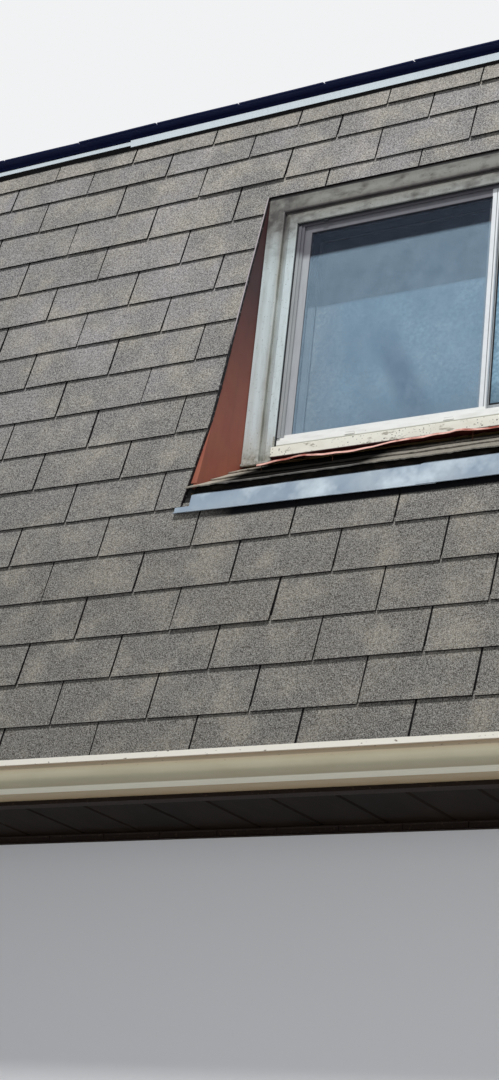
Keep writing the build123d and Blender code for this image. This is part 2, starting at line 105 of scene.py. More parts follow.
SLOPE_TOP = up_slope(high("slope_board_left").z)
HEAD_S = up_slope(low("slope_board_upper").z)
FOOT_S = up_slope(low("shingles_left").z)
ROOF_PITCH = math.radians(9.5)
LEDGE_PITCH = math.radians(33)
LEDGE_FRONT = Vector((0, low("ledge_shingles").y + 0.014 * math.sin(LEDGE_PITCH),
                      low("ledge_shingles").z))
LEDGE = moved(*LEDGE_FRONT) @ turned(LEDGE_PITCH, "X")


def up_ledge(y):
    """Distance up the ledge boards at which they reach a depth y."""
    return (y - LEDGE_FRONT.y) / math.cos(LEDGE_PITCH)


def linear(code):
    """An sRGB hex colour as linear red, green, blue and alpha."""
    parts = [int(code[n:n + 2], 16) / 255 for n in (0, 2, 4)]
    return [c / 12.92 if c <= 0.04045 else ((c + 0.055) / 1.055) ** 2.4 for c in parts] + [1.0]


def size(label, tells, default):
    """A length that a user may change."""
    return bpy.props.FloatProperty(name=label, description=tells, default=default, min=0.0,
                                   unit="LENGTH", precision=4)


def colour(label, tells, code):
    """A colour that a user may change."""
    return bpy.props.FloatVectorProperty(name=label, description=tells, default=linear(code),
                                         size=4, min=0.0, max=1.0, subtype="COLOR")


class ShingleSizes(bpy.types.PropertyGroup):
    """Sizes of the shingle tabs."""
    exposure: size("Exposure", "Height of a course that shows", 0.1429)
    tab: size("Tab", "Width of a tab, slot included", 1 / 3)
    slot: size("Slot", "Gap between two tabs", 0.006)
    thickness: size("Thickness", "Thickness of a tab", 0.0045)
    butt: size("Butt", "Build-up of a course at its lower edge", 0.0112)
    tail: size("Tail", "Build-up of a course just under the next one", 0.0038)
    lap: size("Lap", "How far a tab runs on under the next course", 0.02)
    lift: size("Lift", "How far a tab's lower edge may stand up", 0.004)
    waviness: size("Waviness", "Unevenness of the courses", 0.005)
    starter_setback: size("Starter setback", "Starter strip behind the edge tabs", 0.004)
    # felt: a black strip below the top strip that stands for its shadow line, painted shade
    felt: size("Felt", "Felt that shows below the top strip", 0.012)
    droop: size("Droop", "Underlay hanging over the top strip", 0.013)
    flare: size("Flare", "How far the side shingles leave the cheek at their foot", 0.030)
    flare_height: size("Flare height", "How far up the slope the flare reaches", 0.3144)


class FlashingSizes(bpy.types.PropertyGroup):
    """Sizes of the bent sheets and of the ledge strips."""
    sheet: size("Sheet", "Thickness of the drip flashing", 0.002)
    drip_off: size("Drip stand-off", "Drip flashing's face in front of the boards", 0.015)
    drip_face: size("Drip face", "Height of the drip flashing's face", 0.065)
    drip_kick: size("Drip kick", "Fold at the foot of the drip flashing", 0.008)
    drip_flange: size("Drip flange", "Drip flashing under the ledge board", 0.060)
    drip_taper: size("Drip taper", "How much lower the left face is at its end", 0.010)
    drip_wave: size("Drip wave", "Buckling of the drip flashing", 0.005)
    lap_step: size("Lap step", "Height of one sheet lapped over another", 0.0022)
    apron_sheet: size("Apron sheet", "Thickness of the sill flashing", 0.0012)
    apron_hem: size("Apron hem", "Fold along the sill flashing's front", 0.0065)
    apron_crumple: size("Apron crumple", "Creases in the sill flashing", 0.007)
    strip_thickness: size("Ledge strip", "Thickness of the strips on the ledge", 0.0035)
    strip_overhang: size("Ledge overhang", "Front strip past the ledge board", 0.016)
    trim_width: size("Cheek trim", "Width of the strip along the side shingles", 0.002)
    trim_height: size("Cheek trim height", "Height of that strip off the boards", 0.0115)


class WindowSizes(bpy.types.PropertyGroup):
    """Sizes of the seals, sealant and fittings."""
    joint: size("Joint", "Dark joint between casing and frame", 0.005)
    pile: size("Pile", "Pile strips beside the sashes", 0.004)
    gasket: size("Gasket", "Glazing gaskets", 0.004)
    spline: size("Spline", "Spline that holds the screen", 0.001)
    screen_bar: size("Screen bar", "Width of the screen's bars", 0.032)
    slim_bar: size("Slim bar", "Width of the screen's foot and meeting stile", 0.022)
    sealant: size("Sealant", "Beads of sealant", 0.009)
    softened: size("Softened edge", "Rounding of small edges", 0.0008)


class Finishes(bpy.types.PropertyGroup):
    """Colours of the finishes."""
    granules: colour("Granules", "Shingle granules", "918e94")
    # dark granules: stains, and painted dappled shade in the mottling
    stain_and_shade_granules: colour("Dark granules", "Stained granules and painted dappled shade", "4e4c4b")
    granules_warm: colour("Warm granules", "Buff shingle granules", "918983")
    asphalt: colour("Asphalt", "Cut edges and undersides of the shingles", "100f10")
    # edge asphalt: black asphalt tinted blue as painted skylit shade
    edge_asphalt: colour("Edge asphalt", "Underside of the overhanging shingles", "131d46")
    ledge_granules: colour("Ledge granules", "Bleached shingles on the ledge", "a39c8f")
    cheek: colour("Cheeks", "Red-brown coated sheet", "985848")
    # painted shade over the upper end of the cheeks
    cheek_shade: colour("Cheek shade", "Upper end of the cheeks", "2c1c24")
    # sill flashing: its red-brown darkened as painted shade
    red_sheet: colour("Sill flashing", "Red-brown coated sheet, creased", "5a2823")
    drip_sheet: colour("Drip flashing", "Blue-grey coated sheet", "9eabb5")
    strip_sheet: colour("Top strip", "Mill-finish aluminium strip", "dbe7ec")
    casing: colour("Casing paint", "Off-white alkyd paint", "c3cfd1")
    casing_grime: colour("Casing grime", "Green-grey film on the paint", "5f5f52")
    sill: colour("Sill paint", "Cream alkyd paint", "eeeee2")
    mildew: colour("Mildew", "Black specks and dirt lines", "2b2a22")
    frame: colour("Frame", "Weathered grey extrusion", "979b9c")
    track: colour("Sill track", "White extrusion in the rain", "e8e9e6")
    sash: colour("Sashes", "Weathered sash extrusion", "9ea5aa")
    # screen bar white: painted sunlight on the meeting stile
    screen_bar: colour("Screen bars", "White coated aluminium", "e4e8ea")
    thread: colour("Screen thread", "Glass-fibre thread", "92aec3")
    glass: colour("Glass", "Tint of the panes", "0c1826")
    # glass haze: the dust film in painted sunlight and sky reflection
    haze: colour("Glass haze", "Dust film on the panes", "7fb0d0")
    rubber: colour("Rubber", "Gaskets and splines", "1b1c20")
    gutter: colour("Gutter", "Cream baked enamel", "b4ad93")
    # soffit: dark brown, darkened to near black as painted shade
    soffit: colour("Soffit", "Dark brown baked enamel", "130e0a")
    fascia: colour("Fascia", "Dark brown paint", "1c1410")
    softwood: colour("Softwood", "Sawn framing", "b99a72")
    board: colour("Boards", "Sheathing board", "a3875e")
    wall_paint: colour("Wall paint", "Flat paint on wall board", "d3d0c7")
    trim_paint: colour("Trim paint", "Satin paint on the room side", "dedbd2")
    mill_metal: colour("Bare metal", "Mill-finish aluminium and zinc", "a9abaa")
    caulk: colour("Caulk", "Aged sealant", "a3a49c")
    floor: colour("Floor", "Plain pale floor and plinth", "e4e4e5")


# Modelling
def pick(*objects):
    """Selects these objects alone; the last is active."""
    bpy.ops.object.select_all(action="DESELECT")
    for one in objects:
        one.select_set(True)
        bpy.context.view_layer.objects.active = one


def settle(piece, place=None):
    """Puts a piece at its place and writes that place into its mesh."""
    if place is not None:
        piece.matrix_world = place
    pick(piece)
    bpy.ops.object.transform_apply(location=True, rotation=True, scale=True)
    return piece


def started(name, scale=(1, 1, 1)):
    """Names the primitive that was just added and writes its place into its mesh."""
    piece = bpy.context.active_object
    piece.scale = scale
    piece.name = piece.data.name = name
    return settle(piece)


def start_box(name, corner, opposite):
    """A box between two corners, the start of a piece."""
    pick()
    corner, opposite = Vector(corner), Vector(opposite)
    bpy.ops.mesh.primitive_cube_add(size=1, location=(corner + opposite) / 2)
    return started(name, opposite - corner)


def start_grid(name, x_span, y_span, z, columns, rows):
    """A level grid of faces at height z, the start of a sheet."""
    pick()
    bpy.ops.mesh.primitive_grid_add(x_subdivisions=columns, y_subdivisions=rows, size=1,
                                    location=(sum(x_span) / 2, sum(y_span) / 2, z))
    return started(name, (x_span[1] - x_span[0], y_span[1] - y_span[0], 1))


def start_rod(name, foot, head, radius, sides=12):
    """An upright rod from its foot up to its head."""
    pick()
    bpy.ops.mesh.primitive_cylinder_add(vertices=sides, radius=radius, depth=head - foot[2],
                                        location=(foot[0], foot[1], (foot[2] + head) / 2))
    return started(name)


def choose(piece, kind, test):
    """In edit mode, selects the vertices, edges or faces that pass a test."""
    bpy.ops.mesh.select_mode(type=kind)
    bpy.ops.mesh.select_all(action="DESELECT")
    mesh = bmesh.from_edit_mesh(piece.data)
    for part in {"VERT": mesh.verts, "EDGE": mesh.edges, "FACE": mesh.faces}[kind]:
        if test(part):
            part.select_set(True)
    mesh.select_flush_mode()
    bmesh.update_edit_mesh(piece.data)


class Editing:
    """Edit mode on a piece, with all of it selected or the parts that pass a test."""

    def __init__(self, piece, kind="VERT", test=None):
        self.piece, self.kind, self.test = piece, kind, test

    def __enter__(self):
        pick(self.piece)
        bpy.ops.object.mode_set(mode="EDIT")
        bpy.ops.mesh.select_mode(type="VERT")
        bpy.ops.mesh.select_all(action="SELECT")
        if self.test:
            choose(self.piece, self.kind, self.test)

    def __exit__(self, *error):
        bpy.ops.object.mode_set(mode="OBJECT")


def start_ring(name, corner, opposite, bar):
    """An upright four-sided ring with bars of one width, between two corners."""
    piece = start_box(name, corner, opposite)
    with Editing(piece, "FACE", lambda face: abs(face.normal.y) > 0.5):
        bpy.ops.mesh.inset(thickness=bar)
        bpy.ops.mesh.bridge_edge_loops()
    return piece


def thicken(piece, depth):
    """Extrudes a flat sheet down to a closed slab."""
    with Editing(piece):
        bpy.ops.mesh.extrude_region_move(TRANSFORM_OT_translate={"value": (0, 0, -depth)})
        bpy.ops.mesh.select_all(action="SELECT")
        bpy.ops.mesh.normals_make_consistent(inside=False)
    return piece


def fold(piece, test, move):
    """Folds a sheet's edge on by extruding the edges that pass a test."""
    with Editing(piece, "EDGE", test):
        bpy.ops.mesh.extrude_region_move(TRANSFORM_OT_translate={"value": move})


def cut(piece, point, outward):
    """Cuts a piece by a plane, takes away what is outside and closes the cut."""
    with Editing(piece):
        bpy.ops.mesh.bisect(plane_co=point, plane_no=outward, use_fill=True, clear_outer=True)


def cut_to_bay(piece):
    """Cuts a piece off at both ends of the bay."""
    for side in (-1, 1):
        cut(piece, (side * HALF_BAY, 0, 0), (side, 0, 0))


def use(piece, kind, **settings):
    """Adds a modifier with its settings and applies it."""
    pick(piece)
    made = piece.modifiers.new(kind.title(), kind)
    for key, value in settings.items():
        setattr(made, key, value)
    bpy.ops.object.modifier_apply(modifier=made.name)


def soften(piece, width):
    """Rounds the sharp edges of a piece."""
    use(piece, "BEVEL", width=width, segments=2, limit_method="ANGLE")


def uneven(piece, spacing, strength, direction="Z"):
    """Displaces a piece by soft noise of one size, along one of its axes."""
    clouds = bpy.data.textures.new(piece.name + "_waves", "CLOUDS")
    clouds.noise_scale = spacing
    clouds.noise_depth = 2
    use(piece, "DISPLACE", texture=clouds, texture_coords="LOCAL", direction=direction,
        strength=strength, mid_level=0.5)


def joined(name, pieces):
    """Joins pieces into one with their places in its mesh."""
    pick(*pieces)
    if len(pieces) > 1:
        bpy.ops.object.join()
    whole = bpy.context.active_object
    whole.name = whole.data.name = name
    return settle(whole)


def tone(piece, value):
    """Gives a piece its own tone of colour, which its material reads; below zero is a backing,
    which the shingles leave dark as painted shade in their slots.
    """
    layer = piece.data.attributes.get("tone") or piece.data.attributes.new("tone", "FLOAT", "POINT")
    layer.data.foreach_set("value", [value] * len(piece.data.vertices))


def copies(pattern, places, rng=None):
    """Copies of a pattern with their own meshes, one at each place, each in its own shade where
    rng draws one. The pattern itself is removed."""
    made = []
    for place in places:
        twin = pattern.copy()
        twin.data = pattern.data.copy()
        bpy.context.collection.objects.link(twin)
        twin.matrix_world = place
        if rng:
            tone(twin, rng.random())
        made.append(twin)
    pick(pattern)
    bpy.ops.object.delete()
    return made


def dress(piece, slot, materials, *stands_for):
    """Hands a finished piece over: its materials, its slot (not used), body and the nodes that it
    stands for.
    """
    piece.data.materials.clear()
    for name in materials:
        piece.data.materials.append(bpy.data.materials[name])
    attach(piece, "root")
    if stands_for:
        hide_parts(*stands_for)


def dress_shingles(piece, place, facing, stands_for):
    """Faces the tops of the tabs with granules and leaves edges, undersides and backing dark; the
    black backing in the slots between tabs is painted shade.
    """
    shades = piece.data.attributes["tone"].data
    faced = [p.normal.z > 0.5 and shades[p.vertices[0]].value >= 0 for p in piece.data.polygons]
    settle(piece, place)
    dress(piece, "shingle", facing, stands_for)
    for polygon, top in zip(piece.data.polygons, faced):
        polygon.material_index = 0 if top else 1


# Shingles
def lay_course(sizes, number, lines, x_from, x_to, rng):
    """One course of tabs over its backing strip, lying in the plane of the slope."""
    lower, upper = lines[number], lines[number + 1]
    depth = upper - lower + sizes.lap
    tilt = math.atan2(sizes.butt - sizes.tail, upper - lower)
    backing = start_grid("backing", (x_from, x_to), (lower + 0.006, upper + sizes.lap), 0.0018,
                         max(2, int((x_to - x_from) / 0.08)), 3)
    thicken(backing, 0.001)
    # a backing keeps the black that stands for the shade in the slots: painted shade
    tone(backing, -1.0)
    half = (sizes.tab - sizes.slot) / 2
    pattern = thicken(start_grid("tab", (-half, half), (0, depth), 0, 8, 4), sizes.thickness)
    shift = SLOT_START + (number % 2) * sizes.tab / 2

    def places():
        for n in range(math.floor((x_from - shift) / sizes.tab),
                       math.ceil((x_to - shift) / sizes.tab)):
            x = shift + (n + 0.5) * sizes.tab
            lift = sizes.lift * rng.random() ** 3 / depth
            yield (moved(x + rng.uniform(-0.001, 0.001), upper + sizes.lap, sizes.butt)
                   @ turned(rng.uniform(-0.0012, 0.0012), "Z")
                   @ moved(0, 0, -math.sin(tilt) * depth) @ turned(-tilt - lift, "X")
                   @ moved(0, -depth + rng.uniform(-0.0015, 0.0015), 0))

    return joined("course", [backing] + copies(pattern, places(), rng))


class MANSARD_OT_shingles(bpy.types.Operator):
    """Lays the courses of shingle tabs round the recess"""
    bl_idname = "mansard.shingles"
    bl_label = "Shingles"

    def execute(self, context):
        sizes = context.scene.shingle_sizes
        rng = random.Random(11)
        lines = [FIRST_LINE] + [n * sizes.exposure for n in range(1, FULL_COURSES + 1)]
        lines.append(lines[-1] + UPPER_EXPOSURE)
        lines += [lines[-1] + TOP_EXPOSURE, SLOPE_TOP - 0.002]
        foot = min(range(len(lines)), key=lambda n: abs(lines[n] - FOOT_S))
        head = next(n for n in range(len(lines)) if lines[n] > HEAD_S)
        fields = {
            "lower": [(n, -HALF_BAY, HALF_BAY) for n in range(foot)],
            "left": [(n, -HALF_BAY, -HALF_RECESS) for n in range(foot, head)],
            "right": [(n, HALF_RECESS, HALF_BAY) for n in range(foot, head)],
            "upper": [(head - 1, -HALF_RECESS, HALF_RECESS)]
            + [(n, -HALF_BAY, HALF_BAY) for n in range(head, len(lines) - 1)],
        }
        for name, rows in fields.items():
            courses = []
            for number, x_from, x_to in rows:
                course = lay_course(sizes, number, lines, x_from, x_to, rng)
                self.trim(course, sizes, lines[number], lines[number + 1], x_from, x_to)
                courses.append(course)
            field = joined("shingle_tabs_" + name, courses)
            uneven(field, 0.35, sizes.waviness)
            dress_shingles(field, SLOPE, ["granule_facing", "asphalt_core"], "shingles_" + name)
        return {"FINISHED"}

    def trim(self, course, sizes, lower, upper, x_from, x_to):
        """Cuts a course at its ends: plainly, along the flared edge by a cheek, or at the head."""
        flare_top = FOOT_S + sizes.flare_height
        for x, side in ((x_from, -1), (x_to, 1)):
            slant = sizes.flare / sizes.flare_height * (abs(x) == HALF_RECESS and x_from != -x_to)
            out = slant * max(0.0, flare_top - lower)
            run = -out if lower + sizes.exposure > flare_top else -slant * (upper - lower)
            cut(course, (x - side * out, lower, 0),
                Vector((side * (upper - lower), run, 0)).normalized())
        if x_from == -HALF_RECESS and x_to == HALF_RECESS:
            cut(course, (0, HEAD_S, 0), (0, -1, 0))


class MANSARD_OT_roof_edge(bpy.types.Operator):
    """Lays the tabs, starter strip and underlay along the roof edge, and the strip below them"""
    bl_idname = "mansard.roof_edge"
    bl_label = "Roof edge"

    # Ends of each length of the strip's lip, its stand-off from the boards and its height
    lip_lengths = ((-HALF_BAY, -1.464, 0.0114, 0.013), (-1.462, HALF_BAY, 0.0136, 0.024))
    lip_tilt = math.radians(23)

    def execute(self, context):
        sizes = context.scene.shingle_sizes
        rng = random.Random(5)
        front, back = low("edge_shingles"), high("edge_shingles")
        run = (back.y - front.y) / math.cos(ROOF_PITCH) - 0.003
        starter = start_grid("starter", (-HALF_BAY, HALF_BAY), (sizes.starter_setback, run),
                             0.0042, 60, 3)
        thicken(starter, 0.0038)
        tone(starter, -1.0)
        half = (sizes.tab - sizes.slot) / 2
        pattern = thicken(start_grid("edge_tab", (-half, half), (0, run), 0, 8, 3),
                          sizes.thickness - 0.0004)
        count = math.ceil(HALF_BAY / sizes.tab)
        places = (moved((n + 0.5) * sizes.tab, rng.uniform(-0.003, 0.002), 0.0088)
                  @ turned(rng.uniform(-0.008, 0.008), "Z") for n in range(-count, count))
        course = joined("edge_tabs", [starter] + copies(pattern, places, rng))
        cut_to_bay(course)
        cut(course, (0, run, 0), (0, 1, 0))
        uneven(course, 0.3, 0.003)
        dress_shingles(course, moved(0, front.y, front.z) @ turned(ROOF_PITCH, "X"),
                       ["granule_facing", "edge_asphalt"], "edge_shingles")
        self.underlay(sizes)
        self.lip()
        return {"FINISHED"}

    def underlay(self, sizes):
        """A black strip below the top strip that stands for the shadow line there, painted shade,
        and the underlay that droops over its top.
        """
        foot = up_slope(low("top_strip").z, 0.011)
        top = up_slope(low("edge_shingles").z + 0.040 * math.tan(ROOF_PITCH), 0.016)
        for name, s_from, s_to, off_from, off_to, finish_name in (
                # black strip as painted shadow below the top strip
                ("shadow_line_strip", foot - sizes.felt, foot + 0.012, 0.0035, 0.0088, "asphalt_core"),
                ("underlay", top - sizes.droop, top + 0.001, 0.0148, 0.0178, "edge_asphalt")):
            piece = start_box(name, (-HALF_BAY, s_from, off_from), (HALF_BAY, s_to, off_to))
            with Editing(piece):
                bpy.ops.mesh.subdivide(number_cuts=60)
            uneven(piece, 0.25, 0.003, "Y")
            settle(piece, SLOPE)
            dress(piece, "shingle", [finish_name])

    def lip(self):
        """The kicked-out face of the top strip's two lengths, with a hem along its foot."""
        lengths = []
        for x_from, x_to, off, face in self.lip_lengths:
            length = start_grid("lip", (x_from, x_to), (0, face), 0, 40, 1)
            fold(length, lambda edge: max(v.co.y for v in edge.verts) < NEAR, (0, 0.0012, -0.0018))
            use(length, "SOLIDIFY", thickness=0.0006, offset=1.0)
            lengths.append(settle(length, moved(0, SLOPE_TOP - face - 0.004, off)
                                  @ turned(self.lip_tilt, "X")))
        lip = joined("top_strip_lip", lengths)
        uneven(lip, 0.25, 0.0012)
        settle(lip, SLOPE)
        dress(lip, "top_strip", ["pale_strip"])


class MANSARD_OT_ledge(bpy.types.Operator):
    """Laps ragged, bleached strips of shingle up the ledge"""
    bl_idname = "mansard.ledge"
    bl_label = "Ledge strips"

    rows = 3

    def execute(self, context):
        sizes = context.scene.flashing_sizes
        rng = random.Random(23)
        run = up_ledge(high("ledge_shingles").y)
        depth = (run + sizes.strip_overhang) / self.rows
        pieces = []
        for row in range(self.rows):
            lower = row * depth - sizes.strip_overhang
            end = HALF_RECESS + (0.022 if row == 0 else -0.002)
            x = -end
            while x < end - 0.03:
                width = min(rng.uniform(0.6, 1.2), end - x)
                reach = lower + min(depth + 0.02, run - lower - 0.004)
                front = lower + rng.uniform(-0.003, 0.004)
                strip = start_grid("strip", (x, x + width - 0.003), (front, reach),
                                   0.0095, max(6, int(width / 0.012)), 6)
                with Editing(strip, "VERT", lambda vert: vert.co.y < front + 0.001):
                    bpy.ops.transform.vertex_random(offset=0.0018, seed=rng.randrange(1, 9999))
                strip.matrix_world = (moved(0, reach, 0.0042)
                                      @ turned(-rng.uniform(0.04, 0.06), "X")
                                      @ moved(0, -reach, -0.0095))
                thicken(strip, sizes.strip_thickness)
                settle(strip)
                tone(strip, rng.random())
                pieces.append(strip)
                x += width
        strips = joined("ledge_strips", pieces)
        uneven(strips, 0.12, 0.005)
        settle(strips, LEDGE)
        dress(strips, "ledge_shingle", ["bleached_shingle"], "ledge_shingles")
        return {"FINISHED"}


# Sheet metal
class MANSARD_OT_drip_flashings(bpy.types.Operator):
    """Bends the two lengths of drip flashing over the shingles below the ledge"""
    bl_idname = "mansard.drip_flashings"
    bl_label = "Drip flashings"

    spare = 0.0014   # room for the buckling at the foot

    def execute(self, context):
        sizes = context.scene.flashing_sizes
        body = HALF_RECESS - 0.003
        kick = sizes.drip_kick
        slant = LEAN + LEDGE_PITCH
        for name, layer, side in (("drip_flashing_left", 0, -1), ("drip_flashing_right", 1, 1)):
            off = sizes.drip_off + layer * sizes.lap_step
            foot = up_slope(low(name).z, off + kick - self.spare) + self.spare + kick
            span = (max(low(name).x, -body), min(high(name).x, body))
            face = start_grid(name + "_sheet", span, (foot, foot + sizes.drip_face), off, 70, 3)
            fold(face, lambda edge: min(v.co.y for v in edge.verts) > foot + sizes.drip_face - 1e-5,
                 (0, sizes.drip_flange * math.sin(slant), -sizes.drip_flange * math.cos(slant)))
            ends = sorted((low(name).x if side < 0 else high(name).x, side * body))
            end = start_grid("drip_end", ends, (foot, FOOT_S - 0.002), off, 6, 3)
            face = joined(name + "_bent", [end, face])
            with Editing(face):
                bpy.ops.mesh.remove_doubles(threshold=0.0005)
            fold(face, lambda edge: max(v.co.y for v in edge.verts) < foot + 1e-5, (0, -kick, kick))
            if side < 0:   # the foot of the left length turns up towards its end
                with Editing(face, "VERT", lambda vert: vert.co.y < foot + 0.001):
                    bpy.ops.transform.rotate(value=sizes.drip_taper / HALF_RECESS, orient_axis="Z",
                                             center_override=(0.0, foot, off))
            uneven(face, 0.22, sizes.drip_wave)
            use(face, "SOLIDIFY", thickness=sizes.sheet, offset=-1.0)
            settle(face, SLOPE)
            dress(face, "drip_flashing", ["blue_grey_sheet"], name)
        return {"FINISHED"}


class MANSARD_OT_sill_flashing(bpy.types.Operator):
    """Crumples the red flashing under the sill and nails it down"""
    bl_idname = "mansard.sill_flashing"
    bl_label = "Sill flashing"

    # Place along the bay, and height of the front edge off the ledge there
    kinks = ((-0.70, 0.006), (-0.66, 0.008), (-0.58, 0.013), (-0.52, 0.016), (-0.44, 0.010),
             (-0.34, 0.011), (-0.22, 0.020), (-0.11, 0.022), (-0.02, 0.026), (0.09, 0.019),
             (0.20, 0.024), (0.33, 0.013), (0.43, 0.018), (0.55, 0.008), (0.63, 0.014),
             (0.70, 0.004))
    nails = (-0.685, -0.438, 0.02, 0.36, 0.61)
    base = 0.0182
    columns, rows = 66, 6

    def height(self, x):
        """Height of the crumpled front edge off the ledge at x."""
        for (x0, h0), (x1, h1) in zip(self.kinks, self.kinks[1:]):
            if x0 <= x <= x1:
                return h0 + (h1 - h0) * (x - x0) / (x1 - x0)
        raise ValueError("no kink beside %.3f" % x)

    def execute(self, context):
        sizes = context.scene.flashing_sizes
        half = HALF_OPENING - 0.003
        front = up_ledge(low("sill_flashing").y + 0.004)
        back = up_ledge(high("sill_flashing").y)
        sheet = start_grid("sill_sheet", (-half, half), (front, back), self.base, self.columns,
                           self.rows)
        with Editing(sheet):
            for column in range(self.columns + 1):
                x = -half + column * 2 * half / self.columns
                for row, share in enumerate((1.0, 0.62, 0.25)):
                    y = front + row * (back - front) / self.rows
                    choose(sheet, "VERT", lambda vert: abs(vert.co.x - x) < NEAR
                           and abs(vert.co.y - y) < NEAR)
                    bpy.ops.transform.translate(value=(0, 0, self.height(x) * share))
        fold(sheet, lambda edge: max(v.co.y for v in edge.verts) < front + NEAR,
             (0, -0.80 * sizes.apron_hem, -0.60 * sizes.apron_hem))
        # the hem is marked 1 for its painted highlight
        tone(sheet, 0.0)
        for vert in sheet.data.vertices:
            if vert.co.y < front + NEAR:
                sheet.data.attributes["tone"].data[vert.index].value = 1.0
        uneven(sheet, 0.06, sizes.apron_crumple)
        use(sheet, "SOLIDIFY", thickness=sizes.apron_sheet, offset=1.0)
        settle(sheet, LEDGE)
        dress(sheet, "red_flashing", ["creased_sheet"], "sill_flashing")
        self.nail(front)
        return {"FINISHED"}

    def nail(self, front):
        """Nails that stand between the sheet's lifted edge and the ledge."""
        made = []
        for x in self.nails:
            foot = LEDGE @ Vector((x, front + 0.004, 0.004))
            head = (LEDGE @ Vector((x, front + 0.004, self.base + self.height(x) + 0.001))).z
            made += [start_rod("shank", foot, head, 0.0011, 10),
                     start_rod("cap", (foot.x, foot.y, head - 0.0006), head + 0.001, 0.0042, 14)]
        nails = joined("sheet_nails", made)
        soften(nails, 0.0003)
        dress(nails, "red_flashing", ["rusted_nail"])


class MANSARD_OT_cheek_trims(bpy.types.Operator):
    """Edges the side shingles with a thin metal strip beside the cheeks"""
    bl_idname = "mansard.cheek_trims"
    bl_label = "Cheek trims"

    margin = 0.004
    rows = 24

    def execute(self, context):
        sizes = context.scene.flashing_sizes
        flare = context.scene.shingle_sizes.flare
        flare_height = context.scene.shingle_sizes.flare_height
        foot, head = FOOT_S + self.margin, HEAD_S - self.margin
        for side, word in ((-1, "left"), (1, "right")):
            inner = side * (HALF_RECESS - 0.0005)
            strip = start_grid("cheek_trim_" + word,
                               sorted((inner, inner + side * sizes.trim_width)), (foot, head),
                               0.0005, 1, self.rows)
            with Editing(strip):
                for row in range(self.rows):
                    s = foot + row * (head - foot) / self.rows
                    share = (FOOT_S + flare_height - s) / flare_height
                    if share > 0:
                        choose(strip, "VERT", lambda vert: abs(vert.co.y - s) < NEAR)
                        bpy.ops.transform.translate(value=(side * flare * share, 0, 0))
            thicken(strip, -sizes.trim_height)
            uneven(strip, 0.15, 0.002, "X")
            settle(strip, SLOPE)
            dress(strip, "cheek", ["trim_sheet"])
        return {"FINISHED"}


# Window
class MANSARD_OT_seals(bpy.types.Operator):
    """Fits the joint seal, pile strips, glazing gaskets and screen spline"""
    bl_idname = "mansard.seals"
    bl_label = "Window seals"

    glass_bite = 0.010   # how deep a pane sits in its sash
    rebate = 0.006       # step round the pane

    def execute(self, context):
        sizes = context.scene.window_sizes
        face = low("frame_head").y
        jamb = low("frame_jamb_right").x
        rings = [("casing_joint", face - 0.0016, face + 0.0002,
                  (-HALF_OPENING, OPENING_BOTTOM - 2 * sizes.joint), (HALF_OPENING, OPENING_TOP),
                  sizes.joint)]
        for name, sash in (("outer_pile", "sash_right"), ("inner_pile", "sash_left")):
            y = low(sash).y
            rings.append((name, y - 0.0019, y - 0.0004, (-jamb, high("frame_sill").z),
                          (jamb, low("frame_head").z), sizes.pile))
        for word in ("left", "right"):
            y = low("sash_" + word).y + self.rebate
            bottom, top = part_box("glass_" + word)
            inset = self.glass_bite - (sizes.gasket - 0.002)
            rings.append(("gasket_" + word, y - 0.0022, y + 0.0003,
                          (bottom.x + inset, bottom.z + inset), (top.x - inset, top.z - inset),
                          sizes.gasket))
        for name, y_from, y_to, (x0, z0), (x1, z1), bar in rings:
            ring = start_ring(name, (x0, y_from, z0), (x1, y_to, z1), bar)
            soften(ring, 0.0004)
            dress(ring, "frame", ["black_rubber"])
        self.screen(sizes)
        return {"FINISHED"}

    def screen(self, sizes):
        """The screen's bars, slimmer along the foot and the meeting stile, and its spline."""
        (x0, y0, z0), (x1, y1, z1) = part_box("screen_frame")
        bars = start_ring("screen_bars", (x0, y0, z0), (x1, y1, z1), sizes.screen_bar)
        spare = sizes.screen_bar - sizes.slim_bar
        with Editing(bars):
            for axis, at, move in ((0, x1 - sizes.screen_bar, (spare, 0, 0)),
                                   (2, z0 + sizes.screen_bar, (0, 0, -spare))):
                choose(bars, "VERT", lambda vert: abs(vert.co[axis] - at) < NEAR)
                bpy.ops.transform.translate(value=move)
        y = low("screen_mesh").y
        spline = start_ring("spline", (x0 + sizes.screen_bar - sizes.spline, y - 0.0012,
                                       z0 + sizes.slim_bar - sizes.spline),
                            (x1 - sizes.slim_bar + sizes.spline, y - 0.0002,
                             z1 - sizes.screen_bar + sizes.spline), 2 * sizes.spline)
        soften(bars, sizes.softened)
        soften(spline, 0.0003)
        dress(bars, "screen_frame", ["screen_bars"], "screen_frame")
        dress(spline, "screen_frame", ["black_rubber"])


